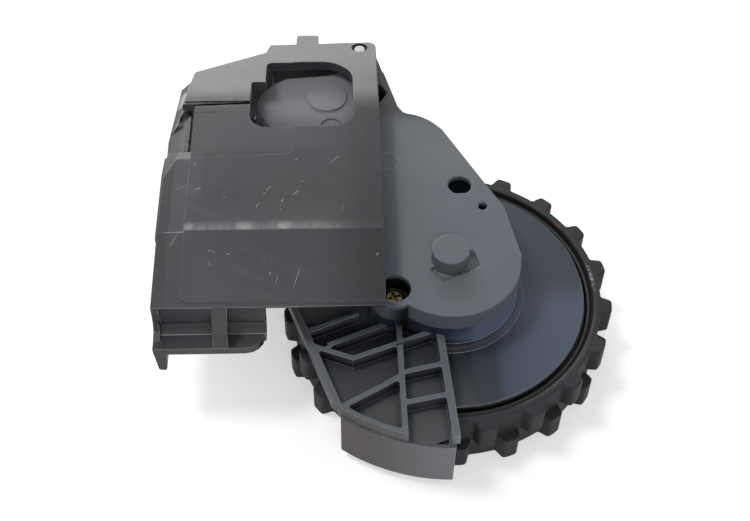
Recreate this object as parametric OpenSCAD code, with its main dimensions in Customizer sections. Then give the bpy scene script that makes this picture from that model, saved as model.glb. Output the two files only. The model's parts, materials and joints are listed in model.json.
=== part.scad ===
// Drive wheel module of a robot vacuum cleaner, lying on the outer side of its wheel.
// Z is the wheel's axis, the origin is the wheel's centre, and Y runs along the bracket.
// The suspension arm is drawn dropped: it turns about the pivot pin into the bracket.

/* [Wheel] */
// Diameter over the tread blocks
wheel_d = 70; // [66:0.5:72]
// Width of the tyre
tyre_w = 13; // [12.5:0.5:14]
// Height of a tread block
block_h = 2.3; // [1.2:0.1:2.6]
// Tread blocks in each of the two rows
blocks = 20; // [14:1:24]
// Width of a tread block round the tyre
block_w = 5; // [3.5:0.1:6]
// Corner radius of a tread block
block_r = 0.7; // [0.3:0.1:1]
// Direction of the first tread block of the upper row
tread_turn = -7.8; // [-18:0.1:18]
// Thickness of the tyre's band under the blocks
band_t = 2.1; // [1.6:0.1:2.6]
// Thickness of the wheel's rim
rim_t = 2.2; // [1.8:0.1:3]
// Thickness of the wheel's web
web_t = 2; // [1.5:0.1:2.6]
// Ribs on the outer side of the wheel
wheel_ribs = 6; // [4:1:9]
// Radius of the wheel's centre boss
wheel_boss_r = 6.5; // [5.5:0.1:8]

/* [Axle] */
// Diameter of the axle
axle_d = 5; // [4:0.1:5]
// Outer diameter of the axle's bearings
bearing_d = 8; // [7.6:0.1:8]
// Width of the axle's bearings
bearing_w = 2.5; // [2:0.1:2.7]
// Length of the hexagonal end that drives the wheel
hex_l = 5.5; // [4:0.1:6]

/* [Gear train] */
// Teeth of the output gear on the axle
out_teeth = 27; // [24:1:27]
// Teeth of the third gear's pinion
pinion3_teeth = 11; // [10:1:12]
// Module of the output stage
out_m = 0.8; // [0.75:0.01:0.82]
// Teeth of the third gear
gear3_teeth = 32; // [30:1:32]
// Teeth of the second gear's pinion
pinion2_teeth = 14; // [12:1:15]
// Teeth of the second gear
gear2_teeth = 38; // [34:1:38]
// Teeth of the first gear's pinion
pinion1_teeth = 12; // [11:1:13]
// Module of the two middle stages
mid_m = 0.6; // [0.58:0.01:0.61]
// Teeth of the first gear
gear1_teeth = 30; // [28:1:31]
// Teeth of the motor's pinion
motor_teeth = 8; // [8:1:10]
// Module of the motor's stage
motor_m = 0.5; // [0.48:0.01:0.51]
// Diameter of the gears' steel pins
gear_pin_d = 2; // [1.6:0.1:2.2]
// Direction of the row of gears from the axle
train_turn = 122.4; // [121:0.1:124]
// Direction of the motor from the first gear
motor_turn = 96; // [92:0.5:100]

/* [Gearbox] */
// Wall of the gearbox
wall = 1.3; // [1:0.1:1.5]
// Thickness of the gearbox's cover over the gears
roof_t = 1.6; // [1.2:0.1:1.8]
// Height of the cover's top face over the wheel's centre
case_top = 17.5; // [17.3:0.1:18]
// Radius of the gearbox's round end over the wheel
case_end_r = 14.7; // [14.2:0.1:15]
// Thickness of the floor under the gears
floor_t = 1.5; // [1.2:0.1:1.6]
// Free height between the tyre and what passes over it
tyre_gap = 0.6; // [0.4:0.1:0.8]
// Gap between the wheel cover's disc and the tyre
disc_gap = 1.5; // [1:0.1:2]
// Height of the blind boss over the axle
axle_boss_h = 3.2; // [2:0.1:3.4]
// Radius of the blind boss over the axle
axle_boss_r = 3.9; // [3.4:0.1:4.6]
// Diameter of the screw well beside the third gear
side_well_d = 5; // [4.6:0.1:5]
// Diameter of the screw wells in the bosses
well_d = 6.6; // [5:0.1:6.8]

/* [Fender] */
// Gap between the tread and the fender's wall
fender_gap = 2.4; // [1.5:0.1:3]
// Thickness of the fender's wall
fender_t = 1.8; // [1.2:0.1:2.2]
// Depth of the fender's wall below the wheel's centre
fender_drop = 4.8; // [2:0.1:5.5]
// Height of the fender's ribs over the wheel's centre
rib_top = 10.6; // [9.6:0.1:11]
// Thickness of the fender's ribs
rib_t = 1.1; // [0.8:0.1:1.5]

/* [Motor] */
// Diameter of the motor's can
motor_d = 24.4; // [22:0.1:24.6]
// Length of the motor's can
motor_l = 8.6; // [7:0.1:8.7]
// Distance between the motor's two mounting screws
motor_screw_pitch = 17; // [15:0.1:18]
// Thickness of the motor's circuit board
board_t = 1; // [0.8:0.1:1.2]

/* [Pivot and spring] */
// Place of the pivot pin across the bracket
pivot_x = -17.5; // [-18:0.1:-17]
// Place of the pivot pin along the bracket
pivot_y = 61.9; // [61.5:0.1:62.5]
// Diameter of the pivot pin
pin_d = 3; // [2.6:0.1:3.2]
// Wall of the pivot's bushes
bush_t = 0.7; // [0.5:0.1:0.9]
// Radius of the arm's lug round the pivot pin
lug_r = 4; // [3.8:0.1:4]
// Outer diameter of the suspension spring
spring_d = 6; // [5:0.1:6.4]
// Diameter of the spring's wire
wire_d = 0.7; // [0.5:0.1:0.9]
// Turns of the suspension spring
spring_turns = 15; // [10:1:18]
// Diameter of the posts that hold the spring
post_d = 3.2; // [2.6:0.1:3.4]

/* [Bracket] */
// Width of the bracket's plate
bracket_w = 46.3; // [46:0.1:48]
// Length of the bracket's plate
bracket_l = 78.8; // [77.5:0.1:80]
// Thickness of the bracket's plate
plate_t = 2; // [1.6:0.1:2.2]
// Height of the plate's flat middle over the wheel's centre
plate_top = 25; // [24.8:0.1:26]
// Height that the raised panel stands over the rest of the plate
panel_t = 0.4; // [0.2:0.1:0.6]
// Slope of the plate's near end, as a fall per length
near_slope = 0.21; // [0.18:0.01:0.24]
// Slope of the plate's far end, as a fall per length
far_slope = 0.23; // [0.18:0.01:0.24]
// Length over which the plate bends into its far slope
bend_w = 8; // [4:0.5:10]
// Wall of the bracket's sides
side_t = 1.6; // [1.2:0.1:2]
// Radius of the window's corners
window_r = 4.2; // [2:0.1:5]
// Radius of the window's corner beside the pivot
window_far_r = 7.5; // [4:0.1:8]
// Width of the window
window_w = 22.7; // [20:0.1:23]
// Length of the window
window_l = 24; // [20:0.1:24.5]
// Diameter of the screw holes under the bracket
mount_hole_d = 2.5; // [2:0.1:3]
// Diameter of the bosses round those holes
mount_boss_d = 6; // [5:0.1:6.4]

/* [Hidden] */
$fn = 64;

// Clearances
run_gap = 0.05;
part_gap = 0.15;
move_gap = 0.4;
backlash = 0.12;

// Levels along the wheel's axis
tyre_top = tyre_w / 2;
disc_t = 1.5;
case_foot = tyre_top - disc_t;
bridge_z = tyre_top + tyre_gap;
floor_z = case_foot + floor_t;
roof_z = case_top - roof_t;
out_gear_z = floor_z + 0.6;
out_gear_h = 3.2;
middle_z = out_gear_z + out_gear_h + move_gap;
middle_h = 2.2;
upper_z = middle_z + middle_h + move_gap;
upper_h = 2;
flange_t = 1.4;
flange_z = case_foot - flange_t;

// Radii round the wheel's axis
tread_r = wheel_d / 2;
root_r = tread_r - block_h;
rim_r = root_r - band_t;
disc_r = rim_r - disc_gap;
plug_r = disc_r - 0.6;
bridge_r = tread_r + 1.6;
flange_r = 24.5;
fender_in = tread_r + fender_gap;
fender_r = fender_in + fender_t;

// Gear centres
stage_out = (out_teeth + pinion3_teeth) * out_m / 2;
stage_3 = (gear3_teeth + pinion2_teeth) * mid_m / 2;
stage_2 = (gear2_teeth + pinion1_teeth) * mid_m / 2;
stage_1 = (gear1_teeth + motor_teeth) * motor_m / 2;
function polar(r, a) = [r * cos(a), r * sin(a)];
axle_c = [0, 0];
gear3_c = polar(stage_out, train_turn);
gear2_c = polar(stage_out + stage_3, train_turn);
gear1_c = polar(stage_out + stage_3 + stage_2, train_turn);
motor_c = gear1_c + polar(stage_1, motor_turn);
pivot_c = [pivot_x, pivot_y];
addendum = 0.9;
dedendum = 1.25;
pressure = 20;
function tip_r(m, z) = m * z / 2 + addendum * m;

// Screws that close the gearbox: three from above and one from below
screw_r = 1.25;
screw_head_r = 2.2;
screw_head_h = 1.5;
screw_seat = 12.9;
boss_wall = 0.8;
well_r = well_d / 2;
boss_r = well_r + 1.5;
tube_r = screw_r + boss_wall;
end_screw = [-11.7, -7.4];
side_screw = [3.4, 20.4];
side_seat = 9.4;
neck_screw = [-14.8, 49.2];
back_screw = motor_c + polar(motor_d / 2 + screw_head_r + 0.35, 197);
pin_hole = [7.9, 14.3];

// Outline of the gearbox: circles joined by belts
case_mid = [-0.6, 9.6];
case_mid_r = 13.6;
shoulder = [-9.6, 30.9];
shoulder_r = 12;
neck = [-17, 44.5];
neck_r = 7.8;
motor_end = [-32, 45.3];
motor_end_r = 9;
motor_side = [-24.8, 46.5];
motor_side_r = 8.5;
gear_wall = move_gap + wall;
corner_r = 3;
gear3_case_r = tip_r(mid_m, gear3_teeth) + gear_wall;
gear2_case_r = tip_r(mid_m, gear2_teeth) + gear_wall;
gear1_case_r = tip_r(motor_m, gear1_teeth) + gear_wall;

// Bracket outline
right_x = pivot_x + 3.8;
far_y = pivot_y + 2.5;
left_x = right_x - bracket_w;
near_y = far_y - bracket_l;
crease_y = near_y + 16.4;
bend_y = far_y - 28;
inner_left_x = left_x + 5.8;
notch_y = near_y + 37.9;
overlap_y = far_y - 24.85;
slot_turn = 3;
function bend_drop(l) = l < 0 ? 0 : far_slope * (l < bend_w ? l * l / bend_w / 2 : l - bend_w / 2);
function plate_z(y) = plate_top - near_slope * max(0, crease_y - y) - bend_drop(y - bend_y);
side_foot = 8;
mount_foot = 10.8;
tray_floor = bridge_z;
tray_t = 0.8;

// Suspension spring, from the arm's post to the bracket's post
spring_z = 13;
arm_post = motor_end + [-11.9, 0.4];
bracket_post = [left_x + 13, near_y + 26.4];
loop_r = post_d / 2 + wire_d / 2 + 0.2;
coil_r = (spring_d - wire_d) / 2;
spring_turn = atan2(bracket_post[1] - arm_post[1], bracket_post[0] - arm_post[0]);
spring_l = norm(bracket_post - arm_post);

// Place of the pin's lower lug on the bracket
bush_lip = 0.3;
low_lug_top = case_foot - bush_lip - 0.3;
low_lug_h = 3.1;
low_lug_r = 3.4;
pin_hole_r = pin_d / 2 + 0.3;
bush_r = pin_d / 2 + run_gap + bush_t;
lug_top = plate_z(far_y) - panel_t - plate_t - bush_lip - move_gap;
bush_l = 4;

// Circles c1, r1 and c2, r2 with the belt round both
module belt(c1, r1, c2, r2) {
    d = norm(c2 - c1);
    turn = atan2(c2[1] - c1[1], c2[0] - c1[0]);
    lean = acos((r1 - r2) / d);
    translate(c1) circle(r1);
    translate(c2) circle(r2);
    polygon([
        c1 + polar(r1, turn + lean), c2 + polar(r2, turn + lean),
        c2 + polar(r2, turn - lean), c1 + polar(r1, turn - lean)
    ]);
}

// Rectangle from a to b with round corners
module round_box(a, b, r) {
    translate([a[0] + r, a[1]]) square([b[0] - a[0] - 2 * r, b[1] - a[1]]);
    translate([a[0], a[1] + r]) square([b[0] - a[0], b[1] - a[1] - 2 * r]);
    for (x = [a[0] + r, b[0] - r])
        for (y = [a[1] + r, b[1] - r])
            translate([x, y]) circle(r);
}

// Cylinder of radius r from height z0 to z1 at the place p
module post(p, r, z0, z1) {
    translate([p[0], p[1], z0]) cylinder(r = r, h = z1 - z0);
}

// Ring between radius r0 and r1 from height z0 to z1 at the place p
module ring(p, r0, r1, z0, z1) {
    translate([p[0], p[1], z0]) difference() {
        cylinder(r = r1, h = z1 - z0);
        translate([0, 0, -1]) cylinder(r = r0, h = z1 - z0 + 2);
    }
}

// Straight wall of thickness t from point a to point b
module rib(a, b, t, z0, z1) {
    l = norm(b - a);
    translate([a[0], a[1], z0])
        rotate(atan2(b[1] - a[1], b[0] - a[0]))
            translate([0, -t / 2, 0]) cube([l, t, z1 - z0]);
}

// Half the angle of a tooth at the radius r
function involute(a) = tan(a) * 180 / PI - a;
function half_tooth(m, z, r) =
    (PI * m / 2 - backlash) / (m * z) * 180 / PI
    + involute(pressure) - involute(acos(min(1, m * z / 2 * cos(pressure) / r)));

// Flank points of one tooth from root to tip
function flank(m, z) =
    let (base = m * z / 2 * cos(pressure), root = m * (z / 2 - dedendum))
    [for (r = [root, max(base, m * z / 2 * 0.97), m * z / 2, tip_r(m, z)])
        [r, half_tooth(m, z, max(r, base))]];

module gear(m, z, turn, h) {
    side = flank(m, z);
    last = len(side) - 1;
    linear_extrude(h) polygon([
        for (i = [0 : z - 1], j = [0 : 2 * last + 1])
            let (k = j <= last ? j : 2 * last + 1 - j, s = j <= last ? -1 : 1)
            polar(side[k][0], turn + 360 * i / z + s * side[k][1])
    ]);
}

// Turn of a gear of z2 teeth that meshes with one of z1 teeth turned by turn1
function mesh_turn(z1, turn1, z2, way) =
    way + 180 - 360 / z2 * (0.5 - (way - turn1) * z1 / 360);
pinion3_turn = mesh_turn(out_teeth, 0, pinion3_teeth, train_turn);
pinion2_turn = mesh_turn(gear3_teeth, 0, pinion2_teeth, train_turn);
pinion1_turn = mesh_turn(gear2_teeth, 0, pinion1_teeth, train_turn);
motor_pinion_turn = mesh_turn(gear1_teeth, 0, motor_teeth, motor_turn);

// Circles and belts that the gearbox's plan is made of
module case_circles() {
    belt(axle_c, case_end_r, case_mid, case_mid_r);
    belt(case_mid, case_mid_r, shoulder, shoulder_r);
    belt(shoulder, shoulder_r - 4, neck, neck_r - 3);
    belt(axle_c, case_end_r, gear3_c, gear3_case_r);
    belt(gear3_c, gear3_case_r, gear2_c, gear2_case_r);
    belt(gear2_c, gear2_case_r, gear1_c, gear1_case_r);
    belt(gear1_c, gear1_case_r, motor_end, motor_end_r);
    belt(motor_end, motor_end_r, motor_side, motor_side_r);
    belt(motor_side, motor_side_r, neck, neck_r);
    polygon([axle_c, case_mid, shoulder, neck, motor_side, motor_end, gear1_c, gear2_c, gear3_c]);
}

// Plan of the gearbox, drawn in by inset, with its inner corners rounded
module case_body(inset) {
    offset(delta = -inset) offset(r = -corner_r) offset(delta = corner_r) case_circles($fn = 48);
}

module case_plan() {
    offset(r = -corner_r) offset(delta = corner_r) {
        case_circles($fn = 48);
        belt(neck, neck_r, pivot_c, lug_r);
    }
}

// Plan of the fender's tray over the tyre
rim_top = [-34.6, -0.5];
rim_foot = polar(fender_r, 234);
guard_end = polar(fender_r, 269);
tray_side = [-2.6, -13];
module tray_plan() {
    difference() {
        intersection() {
            circle(fender_r - 0.5);
            polygon([
                [0, 0], [-26, 6], rim_top, rim_foot, rim_foot + [0, -fender_r],
                [guard_end[0], -2 * fender_r], guard_end, tray_side
            ]);
        }
        circle(case_end_r - wall);
    }
}

// Straight wall of thickness t from point a to point b, in plan
module wall_line(a, b, t) {
    translate(a) rotate(atan2(b[1] - a[1], b[0] - a[0]))
        translate([0, -t / 2]) square([norm(b - a), t]);
}

// Sector of a ring between the radii r0 and r1, where the fender's wall stands
module guard_plan(r0, r1) {
    intersection() {
        difference() {
            circle(r1);
            circle(r0);
        }
        polygon([[0, 0], 2 * rim_foot, 2 * [rim_foot[0], -fender_r], 2 * guard_end]);
    }
}

// Ribs and rims of the fender, and the lip of its wall as far as the open column
column_x = -10.9;
rim_w = 1.5;
cell_r = 0.5;
module rib_plan() {
    intersection() {
        union() {
            wall_line(rim_top, rim_foot, rim_w);
            wall_line(tray_side, guard_end + [0, 1], rim_w);
            wall_line([column_x, -9], [column_x + 0.4, -37.6], rib_t);
            wall_line([-28.4, -12.4], [-19, -8.4], rib_t);
            wall_line([-25.4, -16.4], [-13.7, -11.4], rib_t);
            wall_line([-28.8, -16.3], [-20.2, -19.7], rib_t);
            wall_line([-20.6, -19.8], [-2.7, -12.8], rib_t);
            wall_line([column_x, -23.3], [-1.7, -21.1], rib_t);
            wall_line([column_x, -30.4], [-1.3, -28.4], rib_t);
            wall_line([-22.9, -31.1], [-15.6, -26.9], rib_t);
            wall_line([-15.8, -27.1], [column_x, -24], rib_t);
        }
        circle(fender_r - 0.6);
    }
    intersection() {
        guard_plan(fender_in + 0.5, fender_r - 0.3);
        translate([-fender_r, -fender_r - 1]) square([fender_r + column_x + 0.9, fender_r]);
    }
}

module fender() {
    translate([0, 0, -fender_drop]) linear_extrude(fender_drop + tray_floor + tray_t)
        guard_plan(fender_in, fender_r);
    translate([0, 0, tray_floor]) linear_extrude(tray_t) tray_plan();
    translate([0, 0, tray_floor + tray_t]) linear_extrude(rib_top - tray_floor - tray_t)
        offset(r = -cell_r) offset(delta = cell_r) rib_plan($fn = 48);
}

// Slot through the corner between the fender's wall and its near rim
module corner_slot() {
    translate([guard_end[0], guard_end[1], tray_floor - 1]) linear_extrude(rib_top - tray_floor + 2)
        polygon([[-4.3, 0.9], [-1.3, 2.3], [-1.4, 0.9]]);
}

// Concave foot of the round end, where it rises out of the disc
module end_foot() {
    foot_r = 1.4;
    rotate_extrude() polygon([
        [case_end_r - wall / 2, tyre_top - 0.2], [case_end_r + foot_r, tyre_top - 0.2],
        [case_end_r + foot_r, tyre_top + 0.1], [case_end_r + foot_r * 0.5, tyre_top + foot_r * 0.2],
        [case_end_r + foot_r * 0.2, tyre_top + foot_r * 0.5], [case_end_r + 0.05, tyre_top + foot_r],
        [case_end_r - wall / 2, tyre_top + foot_r]
    ]);
}

// Everything of the cover that is solid before the gears' room is cut out
mark_shift = [-0.7, 1.2];
module cover_outside() {
    translate([0, 0, bridge_z]) linear_extrude(case_top - bridge_z) case_plan();
    translate([0, 0, tyre_top]) linear_extrude(tyre_gap) intersection() {
        union() {
            case_plan();
            tray_plan();
        }
        circle(disc_r);
    }
    translate([0, 0, floor_z]) linear_extrude(tyre_gap) difference() {
        case_plan();
        circle(bridge_r);
    }
    post(axle_c, disc_r, case_foot, tyre_top);
    fender();
    post(end_screw, boss_r, tyre_top, case_top);
    post(back_screw, screw_r + 1.1, floor_z, case_top - 2);
    spring_hook();
    end_foot();
    post(motor_c + mark_shift, 4.6, case_top - 1, case_top + 0.4);
    post(gear1_c + mark_shift, 4.1, case_top - 1, case_top + 0.4);
}

// Post on the motor end of the cover that the spring hooks on
module spring_hook() {
    rib(arm_post, motor_end, 2.4, spring_z - 4.5, spring_z - 1.5);
    post(arm_post, post_d / 2, spring_z - 4.5, spring_z + 1.2);
    post(arm_post, post_d / 2 + 0.5, spring_z + 1.2, spring_z + 1.8);
}

// Room for the gears, open towards the wheel
module cover_room() {
    translate([0, 0, case_foot - 1]) linear_extrude(roof_z - case_foot + 1)
        difference() {
            case_body(wall);
            translate(neck_screw) circle(well_r + boss_wall);
            translate(end_screw) circle(tube_r);
            translate(side_screw) circle(tube_r);
            translate(back_screw) circle(screw_r + 1.1);
        }
}

// Tubes round the two screws that stand beside gears
module screw_tubes() {
    post(end_screw, boss_r - boss_wall, screw_seat - 1, case_top);
    post(side_screw, side_well_d / 2 + boss_wall, side_seat - 1, case_top);
}

module gearbox_cover() {
    bearing_foot = middle_z + 0.3;
    color("slategray") difference() {
        union() {
            difference() {
                cover_outside();
                cover_room();
                boss_recess();
            }
            screw_tubes();
            post(axle_c, bearing_d / 2 + 0.7, bearing_foot, roof_z + 0.1);
            post(axle_c, axle_boss_r, roof_z, case_top + axle_boss_h);
        }
        post(axle_c, bearing_d / 2, bearing_foot - 1, bearing_foot + bearing_w);
        post(axle_c, axle_d / 2 + 0.2, roof_z - 3, case_top + 1.1);
        for (p = [gear1_c, gear2_c, gear3_c])
            post(p, gear_pin_d / 2, roof_z - 1, case_top - 0.5);
        post(pin_hole, 1, roof_z - 1, case_top + 1);
        post(end_screw, well_r, screw_seat, case_top + 1);
        post(side_screw, side_well_d / 2, side_seat, case_top + 1);
        ring(gear1_c + mark_shift, 1.8, 2.3, case_top + 0.1, case_top + 1);
        corner_slot();
        translate([neck_screw[0], neck_screw[1], screw_seat])
            cylinder(r = well_r, h = case_top, $fn = 6);
        for (p = [end_screw, side_screw, neck_screw])
            post(p, screw_r + part_gap, case_foot - 3, screw_seat + 1);
        post(back_screw, screw_r, case_foot, screw_seat);
        post(pivot_c, bush_r, floor_z - 1, case_top + 1);
        translate([pivot_x - 2 * lug_r, pivot_y - lug_r - 1.5, lug_top])
            cube([4 * lug_r, 4 * lug_r, case_top]);
    }
}

// Recess beside the axle's boss, with straight sides
module boss_recess() {
    translate([0, 0, case_top - 0.8]) linear_extrude(2)
        polygon([[5.1, 2.3], [6.2, -2], [-1.6, -5.7], [-4.2, -2.5], axle_c]);
}

// Part of the gearbox's inner plan between two radii round the axle
module floor_zone(r0, r1) {
    intersection() {
        case_body(wall + part_gap);
        difference() {
            circle(r1);
            circle(r0);
        }
    }
}

// Floor of the gearbox: low inside the wheel, bridging the tyre, and low again by the motor
module gearbox_base() {
    bridge_top = bridge_z + floor_t;
    step_t = 1.2;
    color("dimgray") difference() {
        union() {
            post(axle_c, flange_r, flange_z, case_foot);
            translate([0, 0, case_foot]) linear_extrude(floor_t) floor_zone(0.1, plug_r);
            translate([0, 0, case_foot]) linear_extrude(bridge_top - case_foot) {
                floor_zone(plug_r - step_t, plug_r);
                floor_zone(bridge_r, bridge_r + step_t);
            }
            translate([0, 0, bridge_z]) linear_extrude(floor_t)
                floor_zone(plug_r - step_t, bridge_r + step_t);
            translate([0, 0, case_foot]) linear_extrude(floor_t) difference() {
                union() {
                    case_plan();
                    translate(motor_c) circle(motor_d / 2 + 0.3);
                    translate(back_screw) circle(screw_head_r + 0.3);
                }
                circle(bridge_r);
            }
            for (p = [end_screw, side_screw])
                post(p, screw_r + 1.3, flange_z - 1.8, case_foot);
        }
        post(axle_c, bearing_d / 2, flange_z - 1, flange_z + bearing_w);
        post(axle_c, axle_d / 2 + 0.7, flange_z, floor_z + 1);
        for (p = [gear1_c, gear3_c])
            post(p, gear_pin_d / 2, case_foot + 0.4, floor_z + 1);
        post(gear2_c, gear_pin_d / 2, bridge_z + 0.4, bridge_top + 1);
        for (p = [end_screw, side_screw, neck_screw])
            post(p, screw_r, flange_z - 3, floor_z + 1);
        for (p = [end_screw, side_screw])
            post(p, tube_r + part_gap, case_foot, floor_z + 1);
        post(neck_screw, well_r + boss_wall + part_gap, floor_z, floor_z + 1);
        post(back_screw, screw_r + part_gap, case_foot - 1, floor_z + 1);
        post(pivot_c, bush_r, case_foot - 1, floor_z + 1);
        post(motor_c, 3.1, case_foot - 1, floor_z + 1);
        for (s = [-1, 1])
            post(motor_c + s * motor_screw_at, motor_screw_r + 0.1, case_foot - 1, floor_z + 1);
    }
}

// Cross-head screw at p: head from seat upwards, shank down to tip
module screw(p, seat, tip, shank_r, head_r, head_h) {
    slot = head_r * 0.28;
    difference() {
        union() {
            post(p, shank_r, tip, seat);
            post(p, head_r, seat, seat + head_h * 0.6);
            translate([p[0], p[1], seat + head_h * 0.6])
                cylinder(r1 = head_r, r2 = head_r * 0.72, h = head_h * 0.4);
        }
        for (a = [20, 110])
            translate([p[0], p[1], seat + head_h]) rotate(a)
                cube([head_r * 1.25, slot, head_h], center = true);
    }
}

module case_screws() {
    color("goldenrod") {
        screw(end_screw, screw_seat, flange_z - 1.6, screw_r, screw_head_r, screw_head_h);
        screw(side_screw, side_seat, flange_z - 1.6, screw_r, screw_head_r, screw_head_h);
        screw(neck_screw, screw_seat, case_foot + 0.1, screw_r, screw_head_r, screw_head_h);
        translate([0, 0, 2 * case_foot]) mirror([0, 0, 1])
            screw(back_screw, case_foot, 2 * case_foot - screw_seat + 0.2,
                screw_r, screw_head_r, screw_head_h);
    }
}

// Motor, hung under the floor outside the wheel
motor_screw_r = 1;
motor_screw_at = polar(motor_screw_pitch / 2, 150);
can_foot = case_foot - motor_l;
cap_t = 1.2;
cap_foot = can_foot - cap_t;
board_foot = cap_foot - board_t;
shaft_r = 1;
terminal_at = [0, 6.2];

module motor_can() {
    color("silver") translate([motor_c[0], motor_c[1], 0]) difference() {
        rotate_extrude() polygon([
            [shaft_r + run_gap, case_foot - 2.5], [shaft_r + run_gap, case_foot + 1.3],
            [2.9, case_foot + 1.3], [2.9, case_foot], [motor_d / 2 - 0.5, case_foot],
            [motor_d / 2, case_foot - 0.5], [motor_d / 2, can_foot + 0.8],
            [motor_d / 2 - 0.8, can_foot], [0, can_foot], [0, case_foot - 2.5]
        ]);
        for (s = [-1, 1])
            post(s * motor_screw_at, motor_screw_r, case_foot - 1.6, case_foot + 1);
    }
}

module motor_end_cap() {
    color("ivory") translate([motor_c[0], motor_c[1], cap_foot]) difference() {
        union() {
            cylinder(r = motor_d / 2 - 1.6, h = cap_t);
            translate([0, 0, -board_t + 0.2]) cylinder(r = 3, h = board_t);
        }
        for (s = [-1, 1])
            translate(s * terminal_at) translate([-1.1, -0.25, -1]) cube([2.2, 0.5, cap_t + 1.5]);
    }
}

module motor_terminals() {
    color("gold")
        for (s = [-1, 1])
            translate([motor_c[0], motor_c[1], board_foot - 0.4])
                translate(s * terminal_at) translate([-1.1, -0.25, 0])
                    cube([2.2, 0.5, cap_foot - board_foot + 1.4]);
}

// Board under the motor, with a tongue for the cable's header beside the can
header_w = 4.4;
header_l = 10;
header_h = 5;
header_at = motor_c + [-motor_d / 2 - 0.6 - header_w, -header_l / 2];
module motor_board() {
    color("darkgreen") difference() {
        translate([0, 0, board_foot]) linear_extrude(board_t) union() {
            translate(motor_c) circle(motor_d / 2 - 2.2);
            translate(header_at - [0.5, 0.8])
                square([motor_c[0] - header_at[0], header_l + 1.6]);
        }
        post(motor_c, 3.1, board_foot - 1, cap_foot + 1);
        for (s = [-1, 1])
            translate([motor_c[0], motor_c[1], board_foot - 1])
                translate(s * terminal_at) translate([-1.2, -0.35, 0])
                    cube([2.4, 0.7, board_t + 2]);
        for (i = [0 : 3])
            post(header_pin(i), 0.45, board_foot - 1, cap_foot + 1);
    }
}

function header_pin(i) = header_at + [header_w / 2, header_l / 2 + (i - 1.5) * 2];

module board_header() {
    shell = 0.7;
    color("white") translate([header_at[0], header_at[1], cap_foot]) difference() {
        cube([header_w, header_l, header_h]);
        translate([shell, shell, 1]) cube([header_w - 2 * shell, header_l - 2 * shell, header_h]);
        translate([-1, header_l / 2 - 2.4, 2.4]) cube([shell + 2, 0.9, header_h]);
        translate([-1, header_l / 2 + 1.5, 2.4]) cube([shell + 2, 0.9, header_h]);
        for (i = [0 : 3])
            translate(header_pin(i) - header_at) translate([0, 0, -1]) cylinder(r = 0.32, h = 3);
    }
}

module header_pins() {
    color("gold")
        for (i = [0 : 3])
            post(header_pin(i), 0.32, board_foot - 0.3, cap_foot + header_h - 0.8);
}

module motor_screws() {
    color("silver")
        for (s = [-1, 1])
            screw(motor_c + s * motor_screw_at, floor_z, case_foot - 1.5, motor_screw_r, 1.8, 1.1);
}

module motor_shaft() {
    color("silver") post(motor_c, shaft_r, case_foot - 2.2, middle_z + middle_h + 0.2);
}

module motor_pinion() {
    color("goldenrod") translate([motor_c[0], motor_c[1], middle_z - 0.3]) difference() {
        gear(motor_m, motor_teeth, motor_pinion_turn, middle_h + 0.3);
        translate([0, 0, -1]) cylinder(r = shaft_r, h = middle_h + 3);
    }
}

// Two gears on one hub: the lower of height h0, the upper of height h1
module double_gear(c, z0, low, h0, high, h1, foot, head, hub_r) {
    translate([c[0], c[1], 0]) difference() {
        union() {
            translate([0, 0, z0]) gear(low[0], low[1], low[2], h0);
            translate([0, 0, z0 + h0]) gear(high[0], high[1], high[2], h1);
            translate([0, 0, foot]) cylinder(r = gear_pin_d / 2 + 0.9, h = z0 - foot);
            translate([0, 0, z0 + h0 + h1]) cylinder(r = hub_r, h = head - z0 - h0 - h1);
        }
        translate([0, 0, foot - 1])
            cylinder(r = gear_pin_d / 2 + run_gap, h = head - foot + 2);
    }
}

module first_gear() {
    color("whitesmoke") double_gear(
        gear1_c, middle_z, [motor_m, gear1_teeth, 0], middle_h,
        [mid_m, pinion1_teeth, pinion1_turn], upper_z + upper_h - middle_z - middle_h,
        floor_z + 0.2, roof_z - 0.2, gear_pin_d / 2 + 0.9
    );
}

module second_gear() {
    color("whitesmoke") double_gear(
        gear2_c, middle_z, [mid_m, pinion2_teeth, pinion2_turn], upper_z - middle_z,
        [mid_m, gear2_teeth, 0], upper_h,
        bridge_z + floor_t + 0.2, roof_z - 0.2, gear_pin_d / 2 + 0.9
    );
}

module third_gear() {
    color("whitesmoke") double_gear(
        gear3_c, out_gear_z, [out_m, pinion3_teeth, pinion3_turn], middle_z - out_gear_z,
        [mid_m, gear3_teeth, 0], middle_h,
        floor_z + 0.2, roof_z - 0.2, gear_pin_d / 2 + 0.5
    );
}

module first_gear_pin() {
    color("silver") post(gear1_c, gear_pin_d / 2, case_foot + 0.4, case_top - 0.5);
}

module second_gear_pin() {
    color("silver") post(gear2_c, gear_pin_d / 2, bridge_z + 0.4, case_top - 0.5);
}

module third_gear_pin() {
    color("silver") post(gear3_c, gear_pin_d / 2, case_foot + 0.4, case_top - 0.5);
}

// Ball bearing with shields set in from both faces
module bearing(foot) {
    r0 = axle_d / 2 + run_gap;
    r1 = bearing_d / 2;
    land = (r1 - r0) / 3;
    color("lightgray") translate([0, 0, foot]) rotate_extrude() polygon([
        [r0, 0], [r0 + land, 0], [r0 + land, 0.2], [r1 - land, 0.2], [r1 - land, 0], [r1, 0],
        [r1, bearing_w], [r1 - land, bearing_w], [r1 - land, bearing_w - 0.2],
        [r0 + land, bearing_w - 0.2], [r0 + land, bearing_w], [r0, bearing_w]
    ]);
}

module inner_bearing() {
    bearing(middle_z + 0.3);
}

module outer_bearing() {
    bearing(flange_z);
}

module axle_seal() {
    color("black") ring(axle_c, axle_d / 2 + 0.3, axle_d / 2 + 2.6, flange_z - 0.6, flange_z);
}

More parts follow.
